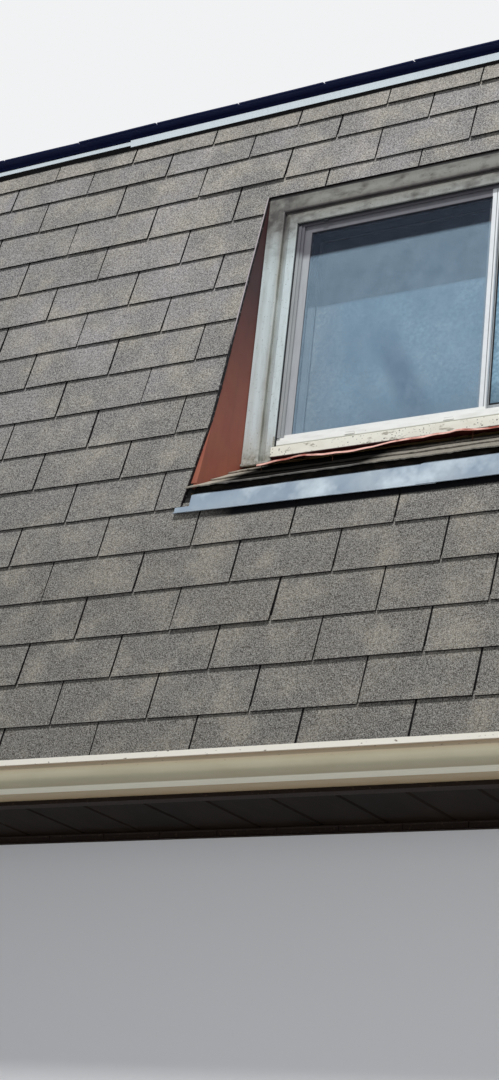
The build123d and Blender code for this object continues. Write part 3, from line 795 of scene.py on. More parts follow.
class MANSARD_OT_fittings(bpy.types.Operator):
    """Adds the weep covers, the screen's clip, and the latch and pull on the room side"""
    bl_idname = "mansard.fittings"
    bl_label = "Window fittings"

    def execute(self, context):
        sizes = context.scene.window_sizes
        face, foot, head = low("frame_sill").y, low("frame_sill").z, low("frame_head").z
        weeps = [self.block("weep", (x, face - 0.003, foot + 0.007),
                            (x + 0.034, face + 0.0002, foot + 0.0145), 2)
                 for x in (-0.45, -0.12, 0.21, 0.54)]
        clip = self.block("head_clip", (-0.60, face - 0.0035, head + 0.0005),
                          (-0.584, face + 0.0002, head + 0.009), 0)
        start, back, edge = low("sash_left").x, high("sash_left").y, high("sash_left").x
        base = self.block("latch_base", (edge - 0.036, back - 0.0002, 1.62),
                          (edge - 0.012, back + 0.007, 1.70), 2)
        lever = start_box("lever", (-0.006, 0, -0.026), (0.006, 0.008, 0.008))
        lever.matrix_world = moved(edge - 0.024, back + 0.007, 1.672) @ turned(0.5, "Y")
        pull = self.block("pull", (start + 0.018, back - 0.0002, 1.60),
                          (start + 0.030, back + 0.013, 1.72), 2)
        for piece, width, slot, finish_name in (
                (joined("weep_covers", weeps), sizes.softened, "frame", "white_extrusion"),
                (clip, sizes.softened, "frame", "black_rubber"),
                (joined("latch_and_pull", [base, lever, pull]), 1.5 * sizes.softened, "sash",
                 "bare_metal")):
            soften(piece, width)
            dress(piece, slot, [finish_name])
        return {"FINISHED"}

    def block(self, name, corner, opposite, axis):
        """A small moulded block with a dished face, its rim a share of its size along an axis."""
        piece = start_box(name, corner, opposite)
        toward = -1 if opposite[1] < 0.005 else 1
        with Editing(piece, "FACE", lambda face: face.normal.y * toward > 0.5):
            bpy.ops.mesh.inset(thickness=min(0.0025, 0.2 * (opposite[axis] - corner[axis])))
            bpy.ops.transform.translate(value=(0, -toward * 0.001, 0))
        return piece


class MANSARD_OT_sealant(bpy.types.Operator):
    """Smears aged sealant along the casing's feet and the sill's ends"""
    bl_idname = "mansard.sealant"
    bl_label = "Sealant"

    def execute(self, context):
        radius = context.scene.window_sizes.sealant / 2
        foot = low("casing_left")
        beads = []
        for side in (-1, 1):
            inner, outer = sorted((side * (HALF_OPENING - 0.004), side * (HALF_RECESS - 0.002)))
            beads.append(self.bead((inner, foot.y - radius, foot.z - 0.002 + 0.0012),
                                   (outer, foot.y + radius, foot.z + 1.6 * radius), 5))
            x = side * HALF_OPENING
            beads.append(self.bead((x - 0.5 * radius, foot.y - 0.4 * radius, foot.z + 0.012),
                                   (x + 0.5 * radius, foot.y + radius, OPENING_BOTTOM + 0.03), 2))
        whole = joined("sealant_beads", beads)
        uneven(whole, 0.02, 0.003, "Y")
        pick(whole)
        bpy.ops.object.shade_smooth()
        dress(whole, "casing", ["aged_sealant"])
        return {"FINISHED"}

    def bead(self, corner, opposite, cuts):
        """A rounded bead with room for lumps."""
        piece = start_box("bead", corner, opposite)
        with Editing(piece):
            bpy.ops.mesh.subdivide(number_cuts=cuts)
            bpy.ops.mesh.bevel(offset=0.001, segments=2)
        use(piece, "SUBSURF", levels=1, render_levels=1)
        return piece


class MANSARD_OT_eave_trim(bpy.types.Operator):
    """Fixes the frieze boards under the soffit and the rivets of the gutter's caps"""
    bl_idname = "mansard.eave_trim"
    bl_label = "Eave trim"

    board = 0.197        # length of a frieze board
    board_joint = 0.0913   # where one joint lies
    # Depth and height of each rivet from the corner of its cap
    rivet_places = ((0.016, 0.022), (0.030, 0.06), (0.055, 0.012), (0.09, 0.012))

    def execute(self, context):
        plate = low("wall_plate")
        before = math.ceil((HALF_BAY + self.board_joint) / self.board)
        start = self.board_joint - before * self.board
        pattern = start_box("frieze_length", (0.001, plate.y - 0.009, plate.z + 0.0006),
                            (self.board - 0.001, plate.y - 0.0005, low("soffit_panels").z - 0.0006))
        with Editing(pattern, "FACE", lambda face: face.normal.y < -0.5):
            bpy.ops.mesh.inset(thickness=0.004)
            bpy.ops.transform.translate(value=(0, 0.0025, 0))
        soften(pattern, 0.0006)
        frieze = joined("frieze_boards", copies(pattern, [
            moved(start + n * self.board, 0, 0)
            for n in range(math.ceil((HALF_BAY - start) / self.board))]))
        cut_to_bay(frieze)
        dress(frieze, "soffit", ["dark_paint"])
        corner = low("gutter_end_caps")
        pattern = start_rod("rivet", (0, 0, -0.0006), 0.0030, 0.0024, 14)
        soften(pattern, 0.0006)
        rivets = joined("cap_rivets", copies(pattern, [
            moved(side * (HALF_BAY - 0.0032), corner.y + y, corner.z + z)
            @ turned(math.pi / 2, "Y") for side in (-1, 1) for y, z in self.rivet_places]))
        dress(rivets, "gutter", ["bare_metal"])
        return {"FINISHED"}


# Finishes
desk = {}       # the node tree in hand, and its Principled shader
FINISHES = []   # what makes each material, in order


def join(value, socket):
    """Links an output to a socket, or sets the socket to a number, a vector or a colour."""
    if isinstance(value, bpy.types.NodeSocket):
        desk["tree"].links.new(value, socket)
    elif isinstance(value, str):
        socket.default_value = linear(value)
    else:
        socket.default_value = tuple(value) if hasattr(value, "__len__") else value


def node(kind, links=None, out=0, stops=(), **settings):
    """Adds a shader node with its settings to the tree in hand and gives one of its outputs;
    links gives each input its value or another node's output, and stops a ramp its colours."""
    made = desk["tree"].nodes.new("ShaderNode" + kind)
    for key, value in settings.items():
        setattr(made, key, value)
    for key, value in (links or {}).items():
        join(value, made.inputs[key])
    for n, (place, code) in enumerate(stops):
        if n == len(made.color_ramp.elements):
            made.color_ramp.elements.new(1.0)
        made.color_ramp.elements[n].position = place
        made.color_ramp.elements[n].color = linear(code)
    return made.outputs[out]


def lay(base, *coats, relief=None, depth=0.0):
    """Lays coats over a base colour, and raises a mask by a depth. A coat has one mask or several,
    a strength and a colour."""
    laid = base
    for share, *others, top in coats:
        for other in others:
            share = node("Math", {0: share, 1: other}, operation="MULTIPLY")
        laid = node("Mix", {0: share, 6: laid, 7: top}, 2, data_type="RGBA")
    join(laid, desk["shader"].inputs["Base Color"])
    if relief is not None:
        join(node("Bump", {"Height": relief, "Distance": depth, "Strength": 1.0}),
             desk["shader"].inputs["Normal"])


def patches(size, spread=0.15, middle=0.5, stretch=(1, 1, 1), detail=3.0, shift=0.0):
    """Soft patches of one size in metres, as a mask from 0 to 1."""
    placed = node("Mapping", {"Vector": node("TexCoord", out="Object"), "Location": (shift,) * 3,
                              "Scale": [1 / (size * s) for s in stretch]})
    noise = node("TexNoise", {"Vector": placed, "Scale": 1.0, "Detail": detail,
                              "Roughness": 0.55}, "Fac")
    return node("MapRange", {"Value": noise, "From Min": middle - spread,
                             "From Max": middle + spread})


def specks(spacing, radius, softness=0.3, scatter=1.0):
    """Round specks at about one spacing, as a mask from 0 to 1."""
    placed = node("Mapping", {"Vector": node("TexCoord", out="Object"),
                              "Scale": (1 / spacing,) * 3})
    cells = node("TexVoronoi", {"Vector": placed, "Scale": 1.0, "Randomness": scatter},
                 "Distance", feature="F1")
    edge = radius / spacing
    return node("MapRange", {"Value": cells, "From Min": edge,
                             "From Max": edge * (1 - softness)})


def along(axis):
    """How far a place on the piece lies along X, Y or Z, or along any direction."""
    place = node("TexCoord", out="Object")
    if isinstance(axis, str):
        return node("SeparateXYZ", {"Vector": place}, axis)
    return node("VectorMath", {0: place, 1: axis}, "Value", operation="DOT_PRODUCT")


def fade(axis, start, end):
    """A mask that goes from 0 to 1 between two places along an axis or a direction."""
    return node("MapRange", {"Value": along(axis), "From Min": start, "From Max": end})


def finish(roughness, specular=0.5, **constants):
    """Marks a function that lays a finish. It becomes a material of the same name with one
    Principled shader, whose constants are set on the shader's own sockets."""
    def mark(lay_it):
        def make(look):
            made = bpy.data.materials.new(lay_it.__name__)
            made.use_nodes = True
            desk.update(tree=made.node_tree, shader=made.node_tree.nodes["Principled BSDF"])
            for key, value in dict(constants, Roughness=roughness,
                                   Specular_IOR_Level=specular).items():
                join(value, desk["shader"].inputs[key.replace("_", " ")])
            lay_it(look)
        FINISHES.append(make)
        return lay_it
    return mark


@finish(0.95, 0.1)
def granule_facing(look):
    """Asphalt shingle faced with crushed-stone granules: matt, gritty and mottled, its dark patches
    partly stains and partly painted dappled shade; darker down the slope as painted shade, the top
    course lighter as painted light against the roof edge's shadow, a painted black shadow under the
    drip flashing. Granules are 1 to 2 mm across, in clumps of 3 to 8 mm."""
    tab = node("Attribute", None, "Fac", attribute_name="tone")
    other = node("Math", {0: node("Math", {0: tab, 1: 7.3}, operation="MULTIPLY")},
                 operation="FRACT")
    clumps = patches(0.0075, 0.10, detail=2.0)
    last_line = EAVE.z + (SLOPE_TOP - LAST_EXPOSURE) * math.cos(LEAN)
    beside = node("ValToRGB", {"Fac": fade("X", -0.86, 0.86)}, stops=(
        (0.03, "000000"), (0.12, "ffffff"), (0.98, "ffffff"), (1.0, "000000")))
    # under and beside mark the painted black shadow just below the drip flashing, inside the recess
    under = node("ValToRGB", {"Fac": fade("Z", 0.90, 1.10)}, stops=(
        (0.04, "000000"), (0.08, "ffffff"), (0.8, "ffffff"), (1.0, "000000")))
    lay(look.granules,
        (tab, 0.45, look.granules_warm),
        (other, 0.60, "585558"),
        # top course lightened: painted light against the roof edge's shadow
        (fade("Z", last_line, last_line + 0.002), 0.7, "a89e90"),
        # darker down the slope: painted shade
        (fade("Z", 1.75, 0.65), 0.90, "4d473e"),
        # dark patches: partly stains, partly painted dappled shade
        (patches(0.45, 0.12, 0.50), 0.5, look.stain_and_shade_granules),
        (patches(0.15, 0.09, 0.52, (1, 1, 1.6)), 0.6, look.stain_and_shade_granules),
        (patches(0.12, 0.10, 0.57, shift=5.3), 0.5, "a89f8d"),
        (clumps, 0.58, "302f2e"),
        (patches(0.0032, 0.14, detail=1.0, shift=3.1), 0.5, "d2d0c9"),
        (specks(0.0045, 0.0014), 0.6, "1c1b1b"),
        # more painted shade towards the eave
        (fade("Z", 1.35, 0.75), 0.18, "3b362e"),
        # painted black shadow below the drip flashing
        (under, beside, "101014"), relief=clumps, depth=0.0010)


@finish(0.9, 0.15)
def asphalt_core(look):
    """Cut asphalt and felt at a shingle's edges and underside: near black, matt; 6 mm crumbs."""
    crumbs = patches(0.006, 0.2)
    lay(look.asphalt, (crumbs, 0.6, "232022"), relief=crumbs, depth=0.0004)


@finish(0.7, 0.2)
def edge_asphalt(look):
    """Underside of the overhanging tabs: black asphalt film tinted blue as painted skylit shade,
    with
    30 mm smears of talc.
    """
    smears = patches(0.03, 0.12, 0.6, (3, 1, 1))
    # blue tint: painted skylit shade
    lay(look.edge_asphalt, (smears, 0.25, "2c3350"), (patches(0.004, 0.2), 0.4, "0b0c14"),
        relief=smears, depth=0.0002)


@finish(0.95, 0.0)
def bleached_shingle(look):
    """Weathered shingle strips on the ledge: paler at the left end, greyer beyond it, painted black
    as shadow under the lifted flashing but for a painted lit line along their front edge, bare in
    15 mm patches."""
    tab = node("Attribute", None, "Fac", attribute_name="tone")
    bare = patches(0.015, 0.12, 0.56)
    # painted black shadow under the lifted sill flashing
    flashing_shadow = node("Math", {0: fade("X", -0.76, -0.70), 1: fade("X", -0.19, -0.27)},
                 operation="MULTIPLY")
    lay(look.ledge_granules,
        (tab, 0.4, "8a857b"),
        (fade("X", -0.74, -0.70), 0.75, "66625b"),
        (bare, 0.4, "4a4744"),
        (patches(0.004, 0.15), 0.3, "cfc8ba"),
        (flashing_shadow, 0.98, "0c0b0b"),
        # painted lit line along the front edge within that shadow
        (fade("Y", LEDGE_FRONT.y + 0.0065, LEDGE_FRONT.y + 0.005), flashing_shadow, 0.7, "7d7a76"),
        relief=bare, depth=0.0006)


@finish(0.85)
def felted_board(look):
    """Sheathing board with 40 mm strands, under black roofing felt on its weather side."""
    outside = EAVE.dot(OUTWARD)
    strands = patches(0.010, 0.18, stretch=(5, 5, 1.5), detail=1.0)
    lay(look.board, (strands, 0.6, "7c6140"),
        (patches(0.008, 0.2, stretch=(1.5, 5, 5)), 0.4, "c0a57b"),
        (fade(OUTWARD, outside - 0.0008, outside - 0.0004), 1.0, look.asphalt),
        relief=strands, depth=0.0004)


@finish(0.9, 0.05)
def shade_black_board(look):
    """Ledge board and its edge: black as painted shade below the ledge strips, with 20 mm runs of
    dust.
    """
    dust = patches(0.02, 0.15, 0.6, (2, 1, 1))
    # black base: painted shade
    lay("191716", (dust, 0.35, "4c463e"), relief=dust, depth=0.0006)


@finish(0.5, 0.3)
def coated_cheek(look):
    """Red-brown coil-coated sheet: satin, darkened towards the head as painted shade, darker
    towards its foot, painted black as shadow below the ledge strips, with 60 mm stains and a few
    drips."""
    drips = patches(0.03, 0.16, 0.62, (1, 1, 5))
    lay(look.cheek,
        (patches(0.10, 0.2, 0.52), 0.35, "86453a"),
        (patches(0.07, 0.2, 0.58, shift=3.0), 0.4, "a06a4c"),
        (drips, 0.2, "4d3230"),
        # darker towards the head: painted shade
        (fade("Z", 1.25, 1.80), 0.90, look.cheek_shade),
        (fade("Z", 1.12, 1.02), 0.35, "5f3630"),
        # black below the ledge strips: painted shadow
        (fade("Z", 1.036, 1.028), 1.0, "0f0d0d"), relief=drips, depth=0.0002)


@finish(0.6, 0.2)
def trim_sheet(look):
    """Thin edging beside the cheek: black as painted shadow in the gap by the cheek, bare zinc in
    10 mm chips and along its rubbed front edge."""
    chips = patches(0.010, 0.06, 0.64)
    outside = EAVE.dot(OUTWARD)
    # black base: painted shadow beside the cheek
    lay("141113", (chips, 0.7, "8d8684"),
        (fade(OUTWARD, outside + 0.0085, outside + 0.0100), fade("Z", 1.55, 1.65), "b9aeb2"),
        relief=chips, depth=0.0002)


@finish(0.5, 0.0)
def creased_sheet(look):
    """Crumpled red-brown sheet: darkened as painted shade, with a painted highlight along the hem
    where it catches the light, paler in 18 mm creases."""
    rubbed = patches(0.018, 0.10, 0.58, (4, 1, 1))
    # hem mask: painted highlight
    hem = node("Attribute", None, "Fac", attribute_name="tone")
    hem = node("MapRange", {"Value": hem, "From Min": 0.80, "From Max": 0.93})
    # dark red base and darker patches: painted shade
    lay(look.red_sheet,
        (patches(0.05, 0.2), 0.5, "2e1210"),
        (rubbed, 0.35, "8a5047"),
        (hem, 0.95, "eebdb0"),
        (hem, patches(0.02, 0.10, 0.58, (3, 1, 1), shift=2.4), "9a5548"),
        (patches(0.01, 0.12, 0.64), 0.4, "3b2723"), relief=rubbed, depth=0.0005)


@finish(0.8, Metallic=0.3)
def rusted_nail(look):
    """Nail with scaly rust, 2 mm flakes."""
    flakes = patches(0.002, 0.2)
    lay("7a4a35", (flakes, 0.7, "3a241c"), relief=flakes, depth=0.0003)


@finish(0.38)
def blue_grey_sheet(look):
    """Blue-grey coil-coated steel: satin, with darker and lighter soft clouds of 100 to 150 mm that
    are painted blurred reflections, and a dusty foot.
    """
    clouds = patches(0.16, 0.16)
    lay(look.drip_sheet,
        # dark and pale clouds: painted blurred reflections
        (clouds, 0.75, "6c7e93"),
        (patches(0.10, 0.10, 0.57, shift=2.2), 0.8, "c3d0d8"),
        (patches(0.012, 0.10, 0.66, (1.6, 1, 2)), 0.2, "6c7480"),
        (specks(0.06, 0.0016), 0.5, "4c5058"),
        (fade("Z", 0.952, 0.94), 0.25, "8a929a"), relief=clouds, depth=0.0003)


@finish(0.25, Metallic=0.9)
def pale_strip(look):
    """Mill-finish aluminium strip that mirrors the sky: satin, with faint 8 mm rain streaks."""
    streaks = patches(0.008, 0.12, 0.62, (1, 1, 8))
    lay(look.strip_sheet, (patches(0.2, 0.2), 0.2, "dbe2ee"), (streaks, 0.15, "a9b0ba"),
        relief=streaks, depth=0.0001)


@finish(0.55, 0.35)
def casing_paint(look):
    """Off-white alkyd on the casing: chalky, grime in the mouldings, grime and painted shade over
    the head, darkest in its grooves and its outer corner, a painted black shadow along its top,
    drips 10 mm wide, mildew by the ledge."""
    aside = node("Math", {0: along("X")}, operation="ABSOLUTE")
    aside = node("Math", {0: aside, 1: HALF_OPENING}, operation="SUBTRACT")
    above = node("Math", {0: along("Z"), 1: OPENING_TOP}, operation="SUBTRACT")
    out = node("Math", {0: aside, 1: above}, operation="MAXIMUM")
    across = node("MapRange", {"Value": out, "From Min": 0.0, "From Max": 0.113})
    # moulding: grime in the grooves, and over the head painted shade
    moulding = node("ValToRGB", {"Fac": across}, stops=(
        (0.0, "505050"), (0.04, "000000"), (0.22, "101010"), (0.32, "909090"), (0.40, "c0c0c0"),
        (0.452, "ffffff"), (0.50, "b0b0b0"), (0.60, "606060"), (0.72, "303030"),
        (0.86, "909090"), (0.96, "606060"), (1.0, "a0a0a0")))
    film = patches(0.05, 0.25, 0.42, (1, 1, 3))
    # head: grime and painted shade
    head = fade("Z", OPENING_TOP - 0.16, OPENING_TOP + 0.03)
    drips = patches(0.010, 0.12, 0.60, (1, 1, 8))
    foot, top = low("casing_left").z, high("casing_head").z
    lay(look.casing,
        (moulding, 0.42, "8f8d80"),
        (moulding, film, "77756a"),
        (head, 0.85, "736f66"),
        (head, patches(0.03, 0.12, 0.60, (2, 1, 1)), "4a4744"),
        (moulding, head, 0.8, "2c2830"),
        # outer corner of the head: painted shade
        (patches(0.035, 0.12, 0.48, shift=1.7),
         fade("X", -HALF_OPENING + 0.06, -HALF_OPENING - 0.03),
         fade("Z", OPENING_TOP - 0.06, OPENING_TOP), 0.8, "3b3738"),
        (drips, 0.2, look.casing_grime),
        # black line along the casing's top: painted shadow
        (fade("Z", top - 0.0115, top - 0.0085), 0.96, "0c0b0f"),
        (fade("Z", foot + 0.13, foot + 0.02), film, "a7a598"),
        (fade("Z", foot + 0.06, foot), patches(0.012, 0.15, 0.5), look.casing_grime),
        (specks(0.020, 0.0020), 0.5, look.mildew),
        (patches(0.006, 0.05, 0.68), 0.6, look.mildew), relief=drips, depth=0.0002)


@finish(0.5, 0.4)
def sill_paint(look):
    """Cream alkyd on the sill: cracked, black mildew specks 2 mm across, dirt below the frame, dark
    red-brown along its foot as painted shade."""
    cracks = patches(0.012, 0.04, 0.63, (3, 1, 1))
    foot, top = low("window_sill").z, high("window_sill").z
    lay(look.sill,
        (patches(0.08, 0.2), 0.25, "d9d3c0"),
        (patches(0.03, 0.12, 0.6, (3, 1, 1)), 0.25, "bfb8a2"),
        (fade("Z", top - 0.007, top - 0.001), 0.6, "6f6a50"),
        (cracks, 0.6, "6f6654"),
        (patches(0.09, 0.1, 0.5, shift=4.4), specks(0.009, 0.0019), look.mildew),
        (specks(0.025, 0.0028), 0.8, look.mildew),
        # dark red-brown foot: painted shade
        (fade("Z", foot + 0.0085, foot + 0.0065), 1.0, "32100f"), relief=cracks, depth=0.0005)


@finish(0.5, 0.4)
def weathered_extrusion(look):
    """Frame extrusion dulled taupe-grey, its draw lines dirty, darker deeper in the frame, with a
    painted shadow across its top.
    """
    face = low("frame_head").y
    soot = patches(0.03, 0.2, 0.5, (1, 1, 6))
    lay(look.frame,
        (soot, 0.4, "74747a"),
        (patches(0.006, 0.1, 0.60, (1, 1, 14)), 0.3, "a9a8a8"),
        (fade("Y", face + 0.006, face + 0.022), 0.35, "504f52"),
        # painted shadow of the head
        (fade("Z", OPENING_TOP - 0.13, OPENING_TOP - 0.10), 0.85, "434149"),
        relief=soot, depth=0.0002)


@finish(0.38)
def white_extrusion(look):
    """Sill track and its covers: white extrusion kept clean by rain, dirt line at its foot."""
    foot = low("frame_sill").z
    soot = patches(0.02, 0.14, 0.6, (4, 1, 1))
    lay(look.track,
        (soot, 0.3, "a8a79c"),
        (fade("Z", foot + 0.005, foot + 0.001), 0.8, "77735a"),
        (fade("Y", -0.066, -0.050), 0.4, "6a6862"),
        (specks(0.022, 0.0014), 0.6, look.mildew), relief=soot, depth=0.0002)


@finish(0.45, 0.4)
def sash_extrusion(look):
    """Sash extrusion, grey-white with 8 mm grime streaks; behind the screen its face is painted
    dark as shade, paler below the painted shadow line to match the lit haze on the glass.
    """
    soot = patches(0.008, 0.12, 0.58, (1, 1, 10))
    edge = low("sash_right").x
    # behind the screen: painted shade, lit below the painted shadow line
    shaded_behind_screen = node("Math", {0: fade("X", edge - 0.002, edge - 0.004),
                             1: fade("Y", -0.004, -0.006)}, operation="MULTIPLY")
    lay(look.sash,
        (soot, 0.5, "76726e"),
        (patches(0.12, 0.2), 0.3, "b9b6b0"),
        (shaded_behind_screen, 1.0, "131e2a"),
        (shaded_behind_screen, fade("Z", *SHADOW_EDGE), "93a2aa"), relief=soot, depth=0.0002)


@finish(0.4)
def screen_bars(look):
    """Coated screen bars: chalky taupe, white along the foot; on the meeting stile painted
    sunlight, a painted shadow line and a painted lit edge; a painted shadow across the top.
    """
    foot, end = low("screen_frame").z, high("screen_frame").x
    soot = patches(0.010, 0.12, 0.56, (1, 1, 8))
    lay("a4a8ac",
        (soot, 0.35, "8b8a8c"),
        # painted shadow of the head
        (fade("Z", OPENING_TOP - 0.13, OPENING_TOP - 0.11), 0.85, "4c4a52"),
        # meeting stile: painted sunlight, a painted shadow line, a painted lit edge
        (fade("X", end - 0.0232, end - 0.0222), 0.9, look.screen_bar),
        (fade("X", end - 0.0085, end - 0.0078), 0.85, "55585c"),
        (fade("X", end - 0.0058, end - 0.0050), 0.9, look.screen_bar),
        (fade("Z", foot + 0.0225, foot + 0.0215), 0.95, look.track),
        (patches(0.03, 0.14, 0.64), 0.15, "8f9090"), relief=soot, depth=0.0002)


@finish(0.8)
def screen_weave(look):
    """Glass-fibre insect screen, 0.3 mm threads at 1.6 by 1.4 mm, dusty in 50 mm clouds, with a
    painted shadow across its top.
    """
    flat = node("Mapping", {"Vector": node("TexCoord", out="Object"),
                            "Rotation": (math.pi / 2, 0, 0)})
    weave = node("TexBrick", {"Vector": flat, "Scale": 1.0, "Mortar Size": 0.00014,
                              "Mortar Smooth": 0.1, "Bias": 0.0, "Brick Width": 0.0016,
                              "Row Height": 0.0014}, "Fac", offset=0.0, squash=1.0)
    dust = patches(0.05, 0.2, 0.52)
    # dark band at the top: painted shadow of the head
    lay(look.thread, (dust, 0.5, "9db4c6"), (fade("Z", 1.910, 1.922), 0.97, "0a1a2e"))
    film = node("Math", {0: dust, 1: 0.08, 2: 0.01}, operation="MULTIPLY_ADD")
    film = node("Math", {0: patches(0.007, 0.15, 0.52, detail=2.0), 1: 0.10, 2: film},
                operation="MULTIPLY_ADD")
    join(node("Math", {0: weave, 1: 0.68, 2: film}, operation="MULTIPLY_ADD"),
         desk["shader"].inputs["Alpha"])


@finish(0.03, 0.18, IOR=1.52)
def tinted_glass(look):
    """Float glass: dark room behind it; below a painted shadow line, a dust film as painted sunlit
    haze in soft 250 mm clouds of painted sky reflection, paler at its left end; a dark streak 120
    mm wide, darker 160 mm patches, darker towards its foot."""
    aside = node("Math", {0: along((0.909, 0.0, 0.418)), 1: 0.328}, operation="SUBTRACT")
    aside = node("Math", {0: aside}, operation="ABSOLUTE")
    streak = node("MapRange", {"Value": aside, "From Min": 0.072, "From Max": 0.012},
                  interpolation_type="SMOOTHSTEP")
    # reach: below the painted shadow line the panes carry painted lit haze
    reach = fade("Z", *SHADOW_EDGE)
    clouds = patches(0.40, 0.15, 0.50, (1.2, 1, 0.8), 2.0)
    lay(look.glass,
        (reach, 0.72, look.haze),
        (reach, clouds, "b4d2e0"),
        (reach, fade("X", -0.52, -0.68), 0.55, "e9e1cd"),
        (patches(0.16, 0.12, 0.56, (1, 1, 2), 2.0, 1.3), 0.5, "2f4d68"),
        (reach, patches(0.011, 0.3, 0.6), "55748c"),
        (streak, fade("Z", 1.72, 1.52), "1d466b"),
        (fade("Z", 1.40, 1.30), 0.6, "35434d"))
    join(node("Math", {0: clouds, 1: 0.12, 2: 0.03}, operation="MULTIPLY_ADD"),
         desk["shader"].inputs["Roughness"])


@finish(0.75, 0.2)
def black_rubber(look):
    """Gaskets, pile and spline: matt black rubber with 5 mm dust."""
    dust = patches(0.005, 0.15, 0.6)
    lay(look.rubber, (dust, 0.3, "45464a"), relief=dust, depth=0.0001)


@finish(0.7)
def aged_sealant(look):
    """Smeared sealant, chalky grey, dirt in 6 mm wrinkles."""
    wrinkles = patches(0.006, 0.14, 0.56)
    lay(look.caulk, (wrinkles, 0.6, "5d5b50"), (patches(0.04, 0.18), 0.4, "7f7f76"),
        relief=wrinkles, depth=0.0008)


@finish(0.42, 0.45)
def gutter_enamel(look):
    """Cream baked enamel on the gutter: painted highlights on the lip and bead, painted tan shade
    under the lip, on the lower face and on the underside, dark dirt streaks under the lip, faint 60
    mm stains."""
    foot, top = low("gutter").z, high("gutter").z
    stains = patches(0.06, 0.14, 0.58, (3, 1, 1))
    # below the lip: painted tan shade, and dirt streaks
    shade_and_dirt_below_lip = fade("Z", top - 0.040, top - 0.018)
    lay(look.gutter,
        (patches(0.25, 0.2), 0.3, "aaa994"),
        (shade_and_dirt_below_lip, 0.8, "9c8367"),
        (stains, 0.25, "8f8468"),
        # lower face and underside tan: painted shade; bead and lip pale: painted highlights
        (fade("Z", foot + 0.036, foot + 0.013), 0.75, "857c62"),
        (fade("Z", foot + 0.014, foot + 0.013), 0.9, "d6d3c4"),
        (fade("Z", top - 0.0165, top - 0.0155), 1.0, "e4e0d4"),
        (fade("Z", foot + 0.0022, foot + 0.001), 0.9, "97825f"),
        (shade_and_dirt_below_lip, patches(0.008, 0.04, 0.69, (2.5, 1, 1)), "4a3826"),
        relief=stains, depth=0.0002)


@finish(0.6, 0.04)
def soffit_enamel(look):
    """Dark brown enamel on the soffit, its brown darkened to near black as painted shade: satin,
    vented in one panel out of three by 3 mm holes at 11 mm, with cobweb dust."""
    turn = node("Math", {0: along("X"), 1: 0.6}, operation="ADD")
    third = node("Math", {0: turn, 1: 0.6}, operation="FLOORED_MODULO")
    vented = node("Math", {0: third, 1: 0.2}, operation="LESS_THAN")
    dust = patches(0.05, 0.14, 0.58, (1, 3, 1))
    lay(look.soffit, (patches(0.3, 0.2), 0.4, "1f150e"), (dust, 0.10, "3a3028"),
        (vented, specks(0.011, 0.0017, 0.2, 0.0), "7d756a"), relief=dust, depth=0.0002)


@finish(0.6, 0.1)
def dark_paint(look):
    """Dark brown paint on the fascia and frieze: satin, flaking in 8 mm spots."""
    flakes = patches(0.008, 0.06, 0.66)
    lay(look.fascia, (patches(0.1, 0.2), 0.4, "2a1f18"), (flakes, 0.4, "5a4938"),
        relief=flakes, depth=0.0003)


@finish(0.75)
def sawn_softwood(look):
    """Sawn softwood plate: grain along the wall in 4 mm lines, knots every 300 mm, its weather
    edge painted dark brown."""
    grain = patches(0.004, 0.2, stretch=(60, 1, 1))
    front = low("wall_plate").y
    lay(look.softwood,
        (grain, 0.5, "8f7048"),
        (specks(0.3, 0.014, 0.5), 0.8, "5f4328"),
        (patches(0.4, 0.2), 0.25, "a58a66"),
        (fade("Y", front + 0.006, front + 0.001), 0.95, look.fascia), relief=grain, depth=0.0003)


@finish(0.8, 0.25)
def layered_wall(look):
    """Stud wall: sheathing board outside, framing and wool in its thickness, painted wall board
    inside with a roller texture of 3 mm."""
    front, back = low("wall_left").y, high("wall_left").y
    stud = fade("Y", front + 0.0120, front + 0.0125)
    skin = fade("Y", back - 0.0008, back - 0.0003)
    lay(look.board,
        (patches(0.03, 0.15, stretch=(2, 1, 1)), 0.5, "86704c"),
        (stud, 1.0, look.softwood),
        (stud, patches(0.004, 0.2, stretch=(1, 1, 50)), "94744c"),
        (fade("Y", back - 0.0128, back - 0.0124), 1.0, "c9c8c2"),
        (skin, 1.0, look.wall_paint),
        (skin, patches(0.4, 0.2), "c4c1b7"), relief=patches(0.003, 0.2), depth=0.0002)


@finish(0.35)
def room_paint(look):
    """Satin paint on the liner and inner casing: brush lines 1.5 mm wide, dust on the ledge."""
    brush = patches(0.0015, 0.2, stretch=(40, 1, 1), detail=1.0)
    lay(look.trim_paint, (brush, 0.12, "bdb9ae"), (patches(0.15, 0.2, 0.6), 0.3, "c6c1b3"),
        relief=brush, depth=0.0001)


@finish(0.4, Metallic=0.85)
def bare_metal(look):
    """Mill-finish aluminium and zinc fittings: rolling lines and 15 mm white bloom."""
    bloom = patches(0.015, 0.16, 0.55)
    lay(look.mill_metal, (bloom, 0.5, "7f8282"), relief=bloom, depth=0.0001)


@finish(0.75)
def plywood_deck(look):
    """Roof deck plywood: three veneers in its thickness, grain 5 mm wide along the eave."""
    grain = patches(0.005, 0.2, stretch=(50, 1, 1))
    lay(look.softwood, (grain, 0.5, "8a6a45"),
        (patches(0.0055, 0.05, 0.5, (400, 60, 1), 0.0), 0.4, "6f5233"), relief=grain, depth=0.0003)


@finish(0.9, 0.1)
def studio_floor(look):
    """Plain pale matt floor and plinth."""
    lay(look.floor, (patches(2.0, 0.3), 0.04, "cfd0d1"))


